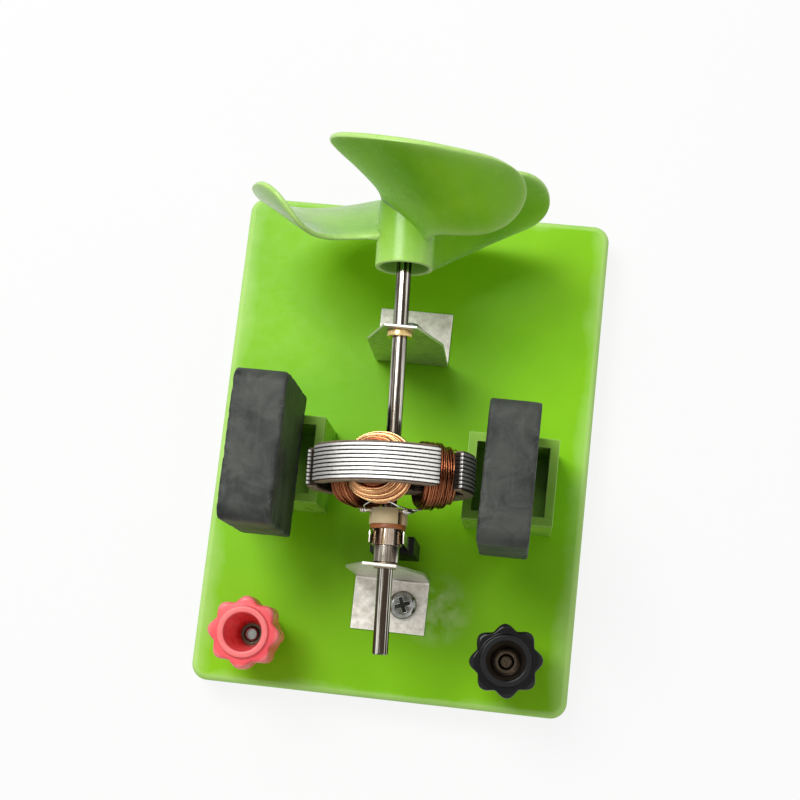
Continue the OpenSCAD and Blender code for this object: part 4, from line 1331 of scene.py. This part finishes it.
@dataclass
class Winding(Assembly):
    """One pole's winding: layers of fine wire round a full core, and its two ends.

    Its frame has Z out along the pole and Y along the shaft from the rotor's middle.
    """

    number: int
    # Painted shade: the lower windings default to dark tones; the first takes lighter ones.
    tones: Point2 = (0.65, 1.0)
    wire: float = 0.35
    end_wire: float = 0.3
    first_z: float = 5.62
    last_z: float = 12.45
    half_w: float = 5.8
    half_l: float = 6.55
    bulge: float = 0.55
    core_inset: float = 0.62
    roundness: float = 2 / 2.25
    steps: int = 40
    tab_y: float = -7.85
    tab_radii: Point2 = (4.75, 5.3)
    hook_steps: int = 22
    hook_round: int = 16
    hook_size: Point3 = (0.98, 0.4, 0.3)
    core_rows: int = 10
    core_steps: int = 48
    overrun: float = 0.1

    def waist(self, z: float) -> Point2:
        """Half width and half length of the outer layer at a height along the pole.

        Args:
            z: The height.

        Returns:
            The half width and the half length.
        """
        share = (z - self.first_z) / (self.last_z - self.first_z)
        swell = self.bulge * max(0.0, math.sin(math.pi * min(max(share, 0.0), 1.0)))
        return (self.half_w * (1 - 0.2 * max(0.0, (share - 0.3) / 0.7) ** 2) + swell,
                self.half_l * (1 - 0.24 * max(0.0, (share - 0.2) / 0.8) ** 2))

    def bend(self, value: float) -> float:
        """A sine or cosine bent so that a turn is a little square."""
        return math.copysign(abs(value) ** self.roundness, value)

    def layer(self, kind: Layer, seed: int) -> tuple[Points, Points]:
        """The path of one layer.

        Args:
            kind: The layer.
            seed: Picks the unevenness.

        Returns:
            The path's points and a tone for each.
        """
        dice = np.random.default_rng(seed)
        count = kind.turns + 2
        offsets = dice.normal(0, kind.jitter, count)
        leans = dice.uniform(-kind.tilt, kind.tilt, count)
        phases = dice.uniform(0, math.tau, count)
        turn_tones = dice.uniform(*kind.tones, count)
        points, tones = [], []
        for step in range(kind.turns * self.steps + 1):
            done = step / self.steps
            share = done / kind.turns
            now = int(done)
            part = done - now
            ease = part * part * (3 - 2 * part)
            angle = math.tau * part
            offset = offsets[now] * (1 - ease) + offsets[now + 1] * ease
            lean = (leans[now] * math.sin(angle + phases[now]) * (1 - ease)
                    + leans[now + 1] * math.sin(angle + phases[now + 1]) * ease)
            climb = share if kind.upward else 1 - share
            z = self.first_z + climb * (self.last_z - self.first_z)
            wide, long = self.waist(z)
            points.append(((wide - kind.inset + offset) * self.bend(math.cos(angle)),
                           (long - kind.inset + offset) * self.bend(math.sin(angle)),
                           min(max(z + lean, self.first_z - self.overrun),
                               self.last_z + self.overrun)))
            tones.append(turn_tones[now] * (1 - ease) + turn_tones[now + 1] * ease)
        return np.array(points), np.array(tones)

    def core(self, name: str, place: Matrix) -> Piece:
        """The full body under the outer layers, painted darkest as the shade between the strands.

        Args:
            name: The piece's name.
            place: Where the winding's frame stands.

        Returns:
            The core.
        """
        rows, steps = self.core_rows, self.core_steps
        points = []
        for row in range(rows + 1):
            z = self.first_z + (self.last_z - self.first_z) * row / rows
            wide, long = (half - self.core_inset for half in self.waist(z))
            points += [(wide * math.cos(angle), long * math.sin(angle), z)
                       for angle in (math.tau * step / steps for step in range(steps))]
        ends = [tuple(reversed(range(steps))), tuple(range(rows * steps, (rows + 1) * steps))]
        piece = mesh_object(name, points, bands(rows + 1, steps) + ends, place)
        # Painted shade: the core gets the darkest turn number.
        mark(piece, "turn", [1.0] * len(points))
        return smooth(piece)

    def end_path(self, side: int) -> Points:
        """The path of an end of the wire, from the turns to a hook round a tab.

        Args:
            side: -1 for one end and 1 for the other.

        Returns:
            The path's points.
        """
        tab = Matrix.Rotation(math.radians(side * 180 / POLE_COUNT), 4, "Y")
        level = self.tab_radii[0 if side < 0 else 1]
        half_w, half_l, rise = self.hook_size
        hook = []
        for step in range(self.hook_steps):
            angle = math.pi * 0.5 + side * math.tau * step / self.hook_round
            hook.append(tab @ Vector((half_w * math.cos(angle),
                                      self.tab_y + half_l * math.sin(angle),
                                      level + rise * step / self.hook_steps)))
        start = [(side * out, -self.half_l + gap, z)
                 for out, gap, z in ((1.0, 0.35, 6.9), (2.2, -0.1, 6.4), (3.5, -0.7, 5.3))]
        return np.array([*smooth_path([*start, hook[0]], 8), *(tuple(spot) for spot in hook[1:])])

    def build(self) -> None:
        """Make the winding."""
        turn = (self.number - 1) * 360 / POLE_COUNT - POLE_TURN
        place = (DRIVE @ Matrix.Translation((0, ROTOR_Y, 0))
                 @ Matrix.Rotation(math.radians(turn), 4, "Y"))
        name = f"winding_{self.number}"
        copper, tinned = self.shop.material(Look.COPPER), self.shop.material(Look.SOLDER)
        layers = (Layer(13, 0.17, True, 0.06, 0.2, self.tones),
                  # Painted shade: the inner layer always takes the darkest tones.
                  Layer(18, 0.5, False, 0.05, 0.12, (0.85, 1.0)),
                  Layer(8, -0.1, True, 0.09, 1.0, self.tones))
        pieces = [self.core(f"{name}_core", place)]
        for number, kind in enumerate(layers):
            path, tones = self.layer(kind, self.number * 10 + number)
            pieces.append(self.shop.wires.wire(f"{name}_layer_{number}", path, self.wire, copper,
                                               place, tones=tones))
        self.hand_over(joined(f"{name}_shown", pieces), Look.COPPER, name, body=Body.ROTOR)
        ends = [self.shop.wires.wire(f"{name}_end_{side}", self.end_path(side), self.end_wire,
                                     tinned, place) for side in (-1, 1)]
        self.hand_over(joined(f"{name}_tinned_ends", ends), Look.SOLDER, body=Body.ROTOR)


# ------------------------------------------------------------------ fan


@dataclass
class Fan(Assembly):
    """The moulded fan: a cupped hub and three twisted blades."""

    front: float = 31.52
    hub_radius: float = 5.8
    hub_length: float = 14.3
    cup_depth: float = 6.0
    cup_wall: float = 0.9
    shaft_depth: float = 12.5
    root: float = 5.0
    radius: float = 31.5
    middle: float = 10.05
    thickness: float = 1.1
    width: Point3 = (0.178, 0.308, 0.616)
    sweep: Point2 = (0.219, -0.6)
    rake: Point2 = (0.108, 0.095)
    camber: Point2 = (-0.158, 0.315)
    pitch: Point2 = (0.85, -0.69)
    tip_power: float = 4.5
    tip_lead: float = 1.3
    row_power: float = 1.9
    edge_width: float = 0.6
    edge_light_fade: float = 1.1
    root_swell: float = 1.4
    root_fade: float = 1.1
    rim_light_fade: float = 0.5
    blades: int = 3
    steps_out: int = 46
    steps_across: int = 36

    def half_width(self, rho: float) -> float:
        """Half width of a blade at a share of the way out."""
        a, b, c = self.width
        return self.radius * (a + b * rho + c * rho * rho) * math.sqrt(
            max(0.0, 1 - rho ** self.tip_power))

    def spot(self, rho: float, v: float) -> Points:
        """A point of a blade's middle surface.

        Args:
            rho: Share of the way out.
            v: Place across, from -1 to 1.

        Returns:
            The point.
        """
        out = self.root + (self.radius - self.root) * rho
        s = self.half_width(rho) * v + self.radius * (self.sweep[0] * rho
                                                      + self.sweep[1] * rho * rho)
        y = (self.middle + (self.pitch[0] + self.pitch[1] * rho) * s
             + (self.camber[0] + self.camber[1] * rho) * s * s / self.radius
             + self.radius * (self.rake[0] * rho + self.rake[1] * rho * rho))
        return np.array((-out * math.sin(s / out), y, out * math.cos(s / out)))

    def normal(self, rho: float, v: float, nudge: float = 0.002) -> Points:
        """The direction square to the middle surface, found from points a nudge away.

        Args:
            rho: Share of the way out.
            v: Place across, from -1 to 1.
            nudge: How far the points lie apart, as a share.

        Returns:
            The direction.
        """
        out = self.spot(min(rho + nudge, 0.9995), v) - self.spot(max(rho - nudge, 0.0), v)
        held = min(rho, 0.998)
        normal = np.cross(out, self.spot(held, v + nudge) - self.spot(held, v - nudge))
        return normal / max(np.linalg.norm(normal), 1e-9)

    def blade(self) -> Piece:
        """One blade with rounded edges and a thicker root, in the fan's own frame.

        Returns:
            The blade.
        """
        span = self.radius - self.root
        rows = [0.002 + 0.998 * (1 - (1 - k / self.steps_out) ** self.row_power)
                for k in range(self.steps_out + 1)]
        across = [math.sin(math.pi * (k / self.steps_across - 0.5))
                  for k in range(self.steps_across + 1)]
        points, edges = [], []
        for side in (1, -1):
            for rho, v in ((rho, v) for rho in rows for v in across):
                to_side = (1 - abs(v)) * self.half_width(rho)
                to_tip = (1 - rho) * span * self.tip_lead
                gap = to_side * to_tip / max(math.hypot(to_side, to_tip), 1e-9)
                share = min(gap / self.edge_width, 1.0)
                half = self.thickness / 2 * math.sqrt(max(0.0, 1 - (1 - share) ** 2))
                half *= 1 + self.root_swell * math.exp(-span * rho / self.root_fade)
                points.append(self.spot(rho, v) + side * half * self.normal(rho, v))
                # Painted light: the blade is marked paler towards its rim.
                edges.append(math.exp(-gap / self.edge_light_fade))
        wide = len(across)
        sheet = len(rows) * wide
        faces: Faces = []
        for a in (i * wide + j for i in range(len(rows) - 1) for j in range(wide - 1)):
            faces.append((a, a + 1, a + wide + 1, a + wide))
            faces.append((sheet + a, sheet + a + wide, sheet + a + wide + 1, sheet + a + 1))
        faces += [(j, sheet + j, sheet + j + 1, j + 1) for j in range(wide - 1)]
        piece = mesh_object("fan_blade", points, faces)
        mark(piece, "edge", edges)
        return smooth(close_up(piece), 180, False)

    def hub(self) -> Piece:
        """The hub with its open front.

        Returns:
            The hub.
        """
        cup = self.hub_radius - self.cup_wall
        profile = rounded(
            [(0, self.shaft_depth), (SHAFT_RADIUS, self.shaft_depth),
             (SHAFT_RADIUS, self.cup_depth), (cup, self.cup_depth), (cup, 0),
             (self.hub_radius, 0), (self.hub_radius, self.hub_length), (0, self.hub_length)],
            [0, 0, 0.2, 0.5, 0.3, 0.35, 1.6, 0], 5)
        piece = lathe("fan_hub", profile, ALONG, 80, ring=False)
        # Painted light: the hub is marked paler towards its open front rim.
        mark(piece, "edge", [math.exp(-vert.co.y / MM / self.rim_light_fade)
                             for vert in piece.data.vertices])
        return smooth(piece)

    def build(self) -> None:
        """Make the fan."""
        blades = self.shop.spin.run(self.blade(), Count=self.blades,
                                    Finish=self.shop.material(Look.FAN))
        piece = joined("fan_shown", [blades, self.hub()])
        piece.data.transform(Matrix.Scale(MM, 4) @ DRIVE @ Matrix.Translation((0, self.front, 0))
                             @ Matrix.Scale(1 / MM, 4))
        self.hand_over(piece, Look.FAN, "fan", body=Body.ROTOR)


# ------------------------------------------------------------------ brushes and terminals


@dataclass
class BrushGear(Assembly):
    """The block under the commutator and the two brush strips."""

    screw_at: Point3 = (0.0, -22.415, -35.0)

    def build(self) -> None:
        """Make the block, its screw and the strips."""
        self.soften("brush_holder", 0.3, Look.BLOCK, steps=3)
        self.copy_out("brush_holder_screw", 0.12, [tuple(DRIVE @ Vector(self.screw_at))], [18])
        for side in ("left", "right"):
            self.soften(f"{side}_brush", 0.09, Look.STRIP)


@dataclass
class BindingPost(Assembly):
    """A terminal: cap with its insert, clamp washer, stud and collar nut."""

    colour: str
    side: int
    turn: float
    lobes: int = 8
    lobe_over: float = 7.4
    lobe_root: float = 6.25
    skirt: float = 5.75
    ring: float = 5.2
    mouth: float = 3.9
    socket: float = 2.2
    insert: float = 2.6
    clamp: float = 4.6
    stud: float = 1.5
    stud_span: Point2 = (3.4, 18.0)
    pitch: float = 0.5
    thread_wire: float = 0.26
    thread_inset: float = 0.13
    thread_gap: float = 0.35
    thread_steps: int = 24
    insert_foot: float = 13.5
    clamp_span: Point2 = (12.45, 13.05)
    cap_foot: float = 13.1
    lobe_foot: float = 20.0
    shoulder: float = 28.7
    top: float = 29.5
    floor: float = 17.0

    def place(self) -> Matrix:
        """The post's frame, with Z up from the table."""
        return Matrix.Translation((self.side * POST_AT[0], POST_AT[1], 0))

    def lobed(self, angle: float) -> float:
        """Radius of the lobed part at an angle."""
        wave = 0.5 + 0.5 * math.cos(self.lobes * (angle - math.radians(self.turn)))
        return self.lobe_root + (self.lobe_over - self.lobe_root) * wave ** 0.8

    def cap(self, name: str) -> Piece:
        """The cap, as one turned form whose upper part has lobes.

        Args:
            name: The piece's name.

        Returns:
            The cap.
        """
        outline = rounded(
            [(self.insert, self.cap_foot), (self.skirt, self.cap_foot),
             (self.skirt, self.lobe_foot), (self.lobe_over, self.lobe_foot),
             (self.lobe_over, self.shoulder), (self.ring, self.shoulder), (self.ring, self.top),
             (self.mouth, self.top), (self.mouth, self.shoulder), (self.socket, self.floor),
             (self.insert, self.floor)],
            [0.1, 0.35, 0.5, 0.9, 1.5, 0.35, 0.35, 0.45, 0.3, 0.15, 0.1], 5)

        def radius(reach: float, angle: float, number: int) -> float:
            """The radius with the lobes let in."""
            if not (outline[number][1] > self.lobe_foot - 0.1 and reach > self.ring + 0.5):
                return reach
            low = self.skirt if outline[number][1] < 24 else self.ring
            return low + (self.lobed(angle) - low) * ((reach - low) / (self.lobe_over - low))

        piece = lathe(name, outline, self.place(), 192, radius=radius)
        # Painted light: the lobe tops and the ring round the mouth are marked as edge, which the
        # finish paints paler.
        marks = []
        for vert in piece.data.vertices:
            x, y, height = vert.co / MM
            reach = math.hypot(x - self.side * POST_AT[0], y - POST_AT[1])
            marks.append(float(reach > 6.6 and height > 27.4 or height > 29.3))
        mark(piece, "edge", marks)
        return smooth(piece, 40)

    def rod(self, name: str, finish: Material) -> Piece:
        """The stud, with a thread cut along it.

        Args:
            name: The piece's name.
            finish: Its material.

        Returns:
            The stud.
        """
        low, high = self.stud_span
        core = self.stud - 0.12
        profile = rounded([(0, low), (core, low), (core, high), (0, high)], [0, 0.3, 0.3, 0])
        rod = smooth(lathe(f"{name}_core", profile, self.place(), 40, ring=False))
        root, steps = self.stud - self.thread_inset, self.thread_steps
        turns = (high - low - 2 * self.thread_gap) / self.pitch
        path = [(root * math.cos(math.tau * step / steps), root * math.sin(math.tau * step / steps),
                 low + self.thread_gap + self.pitch * step / steps)
                for step in range(int(turns * steps) + 1)]
        thread = self.shop.wires.wire(f"{name}_thread", np.array(path), self.thread_wire, finish,
                                      self.place(), 5)
        return joined(name, [rod, thread])

    def build(self) -> None:
        """Make the post's pieces."""
        red = self.colour == "red"
        title = f"{self.colour}_post"
        cap_body, clamp_body = ((Body.RED_CAP, Body.RED_CLAMP) if red
                                else (Body.BLACK_CAP, Body.BLACK_CLAMP))
        self.hand_over(self.cap(f"{title}_cap_shown"), Look.RED if red else Look.BLACK,
                       f"{title}_cap", body=cap_body)
        inner = self.stud + 0.05
        insert = turned_ring(f"{title}_insert_shown", (inner, self.insert),
                             (self.insert_foot, self.floor), self.place(), 0.15, 48)
        # Painted shade: the insert is dark, for the shade inside the cap's mouth.
        self.hand_over(insert, Look.DARK_INSERT, f"{title}_insert", body=cap_body)
        clamp = turned_ring(f"{self.colour}_clamp_washer_shown", (inner, self.clamp),
                            self.clamp_span, self.place())
        self.hand_over(clamp, Look.BRASS, f"{self.colour}_clamp_washer", body=clamp_body)
        # Painted shade: the black post's stud is dark, for the shade inside the mouth.
        metal = Look.SCREW if red else Look.DARK_INSERT
        stud = self.rod(f"{title}_stud_shown", self.shop.material(metal))
        self.hand_over(stud, metal, f"{title}_stud", slot="steel")
        self.soften(f"{title}_collar", 0.2, Look.BRASS)


@dataclass
class UndersideWiring(Assembly):
    """Washers, nuts, solder lugs and leads under the plate."""

    lead_z: float = 6.6
    lead_d: float = 1.4
    lug_end: float = -35.0
    tail: Point2 = (3.45, -22.315)
    bead_size: Point3 = (0.95, 0.95, 0.6)
    shares: tuple[Point2, ...] = ((0, 0), (0.02, 0.18), (0.26, 0.65), (0.7, 0.95), (1, 1))

    def build(self) -> None:
        """Make the wiring and its fasteners."""
        spots = [(side * POST_AT[0], POST_AT[1], 0) for side in (-1, 1)]
        self.copy_out("post_washers", 0.1, spots, (0, 0))
        self.copy_out("post_nuts", 0.2, spots, (0, 0), Look.BRASS)
        seed = 7
        for colour, side, look in (("red", -1, Look.RED_WIRE), ("black", 1, Look.BLACK_WIRE)):
            self.soften(f"{colour}_solder_lug", 0.08, Look.SCREW)
            route = self.route(side)
            lead = self.shop.wires.wire(f"{colour}_lead_shown", route, self.lead_d,
                                        self.shop.material(look), sides=16)
            self.hand_over(lead, look, f"{colour}_lead")
            for part, spot in enumerate((route[0], route[-1])):
                bead = blob(f"{colour}_lead_solder_{part + 1}", spot, self.bead_size, STILL,
                            seed + part)
                self.hand_over(bead, Look.SOLDER)
            seed += 2

    def route(self, side: int) -> Points:
        """The path of a lead, from its lug to the tail of a brush.

        Args:
            side: -1 for the red lead and 1 for the black one.

        Returns:
            The path's points.
        """
        run = 1.5 * self.lead_d
        brush = [DRIVE @ Vector((side * (self.tail[0] + off), self.tail[1], 0))
                 for off in (0.0, run)]
        start = np.array((side * POST_AT[0], self.lug_end, self.lead_z))
        leave = start + (0, run, 0)
        end, reach = (np.array((spot.x, spot.y, self.lead_z)) for spot in brush)
        reach -= leave
        bend = [leave + (a * reach[0], b * reach[1], 0) for a, b in self.shares]
        return np.array([start, *smooth_path(bend, 8), end])


# ------------------------------------------------------------------ studio


@dataclass
class Studio:
    """The camera, the lamps, the white surround and the floor."""

    lens: float = 72.2
    eye: Point3 = (28.46, -49.01, 352.18)
    axes: tuple[Point3, ...] = (
        (0.99159, 0.10970, -0.06873), (-0.09592, 0.97917, 0.17898), (0.08694, -0.17088, 0.98145))
    surround: float = 0.36
    floor_reach: float = 3000.0
    floor_share: float = 0.87

    def build(self) -> None:
        """Set up the scene round the motor."""
        self.camera()
        self.world()
        self.lamp("key", (-210, 220, 560), 290, 3.0)
        self.lamp("fill", (380, -300, 420), 300, 0.35)
        self.floor()
        bpy.context.scene.view_settings.view_transform = "Standard"

    def camera(self) -> None:
        """Place the camera."""
        data = bpy.data.cameras.new("camera")
        data.lens = self.lens
        data.sensor_width = 36
        data.clip_start = 0.01
        camera = add_object("camera", data)
        camera.matrix_world = (Matrix.Translation([value * MM for value in self.eye])
                               @ Matrix(self.axes).transposed().to_4x4())
        bpy.context.scene.camera = camera

    def world(self) -> None:
        """A soft surround that the camera and shiny surfaces see as white."""
        world = bpy.data.worlds.new("surround")
        world.use_nodes = True
        graph = Graph(world.node_tree)
        rays = graph.add("ShaderNodeLightPath").outputs
        seen = graph.sums("MAXIMUM", graph.sums("MAXIMUM", rays["Is Camera Ray"],
                                                rays["Is Glossy Ray"]),
                          rays["Is Transmission Ray"])
        level = graph.add("ShaderNodeMapRange", Value=seen, To_Min=self.surround, To_Max=1.0)
        graph.feed_all(graph.tree.nodes["Background"],
                       {"Color": (1.0, 1.0, 1.0), "Strength": level.outputs["Result"]})
        bpy.context.scene.world = world

    def lamp(self, name: str, place: Point3, size: float, watts: float) -> None:
        """Add a square lamp that points at the motor.

        Args:
            name: The lamp's name.
            place: Where it stands, in millimetres.
            size: Its width in millimetres.
            watts: Its power.
        """
        data = bpy.data.lights.new(name, "AREA")
        data.size = size * MM
        data.energy = watts
        lamp = add_object(name, data)
        lamp.location = spot = Vector(place) * MM
        lamp.rotation_euler = (Vector((0, 0, 0.02)) - spot).to_track_quat("-Z", "Y").to_euler()

    def floor(self) -> None:
        """A white floor that keeps a faint shadow."""
        corners = [(x * self.floor_reach, y * self.floor_reach, 0)
                   for x, y in ((-1, -1), (1, -1), (1, 1), (-1, 1))]
        floor = mesh_object("floor", corners, [(0, 1, 2, 3)])
        paint = Paint("floor_white")
        paint.tree.nodes.remove(paint.tree.nodes["Principled BSDF"])
        paper = paint.add("ShaderNodeBsdfDiffuse", Color=(0.82, 0.82, 0.81))
        seen = paint.add("ShaderNodeLightPath").outputs["Is Camera Ray"]
        blend = paint.add("ShaderNodeMixShader", paint.times(seen, self.floor_share),
                          paper.outputs[0], paint.add("ShaderNodeEmission").outputs[0])
        paint.feed(paint.tree.nodes["Material Output"].inputs["Surface"], blend.outputs[0])
        floor.data.materials.append(paint.material)


def main() -> None:
    """Build the motor, sub-assembly by sub-assembly."""
    logging.basicConfig(level=logging.INFO, format="%(message)s")
    Studio().build()
    shop = Workshop()
    for part in (BasePlate(shop), MagnetMounts(shop), Bearings(shop), DriveShaft(shop),
                 # Painted shade: the first winding is given light tones, the two lower ones dark.
                 Commutator(shop), Stack(shop), Winding(shop, 1, (0.0, 0.75)),
                 Winding(shop, 2), Winding(shop, 3), Fan(shop), BrushGear(shop),
                 BindingPost(shop, "red", -1, 0), BindingPost(shop, "black", 1, 7),
                 UndersideWiring(shop)):
        part.build()
    LOG.info("%d pieces", shop.made)


if __name__ == "__main__":
    main()
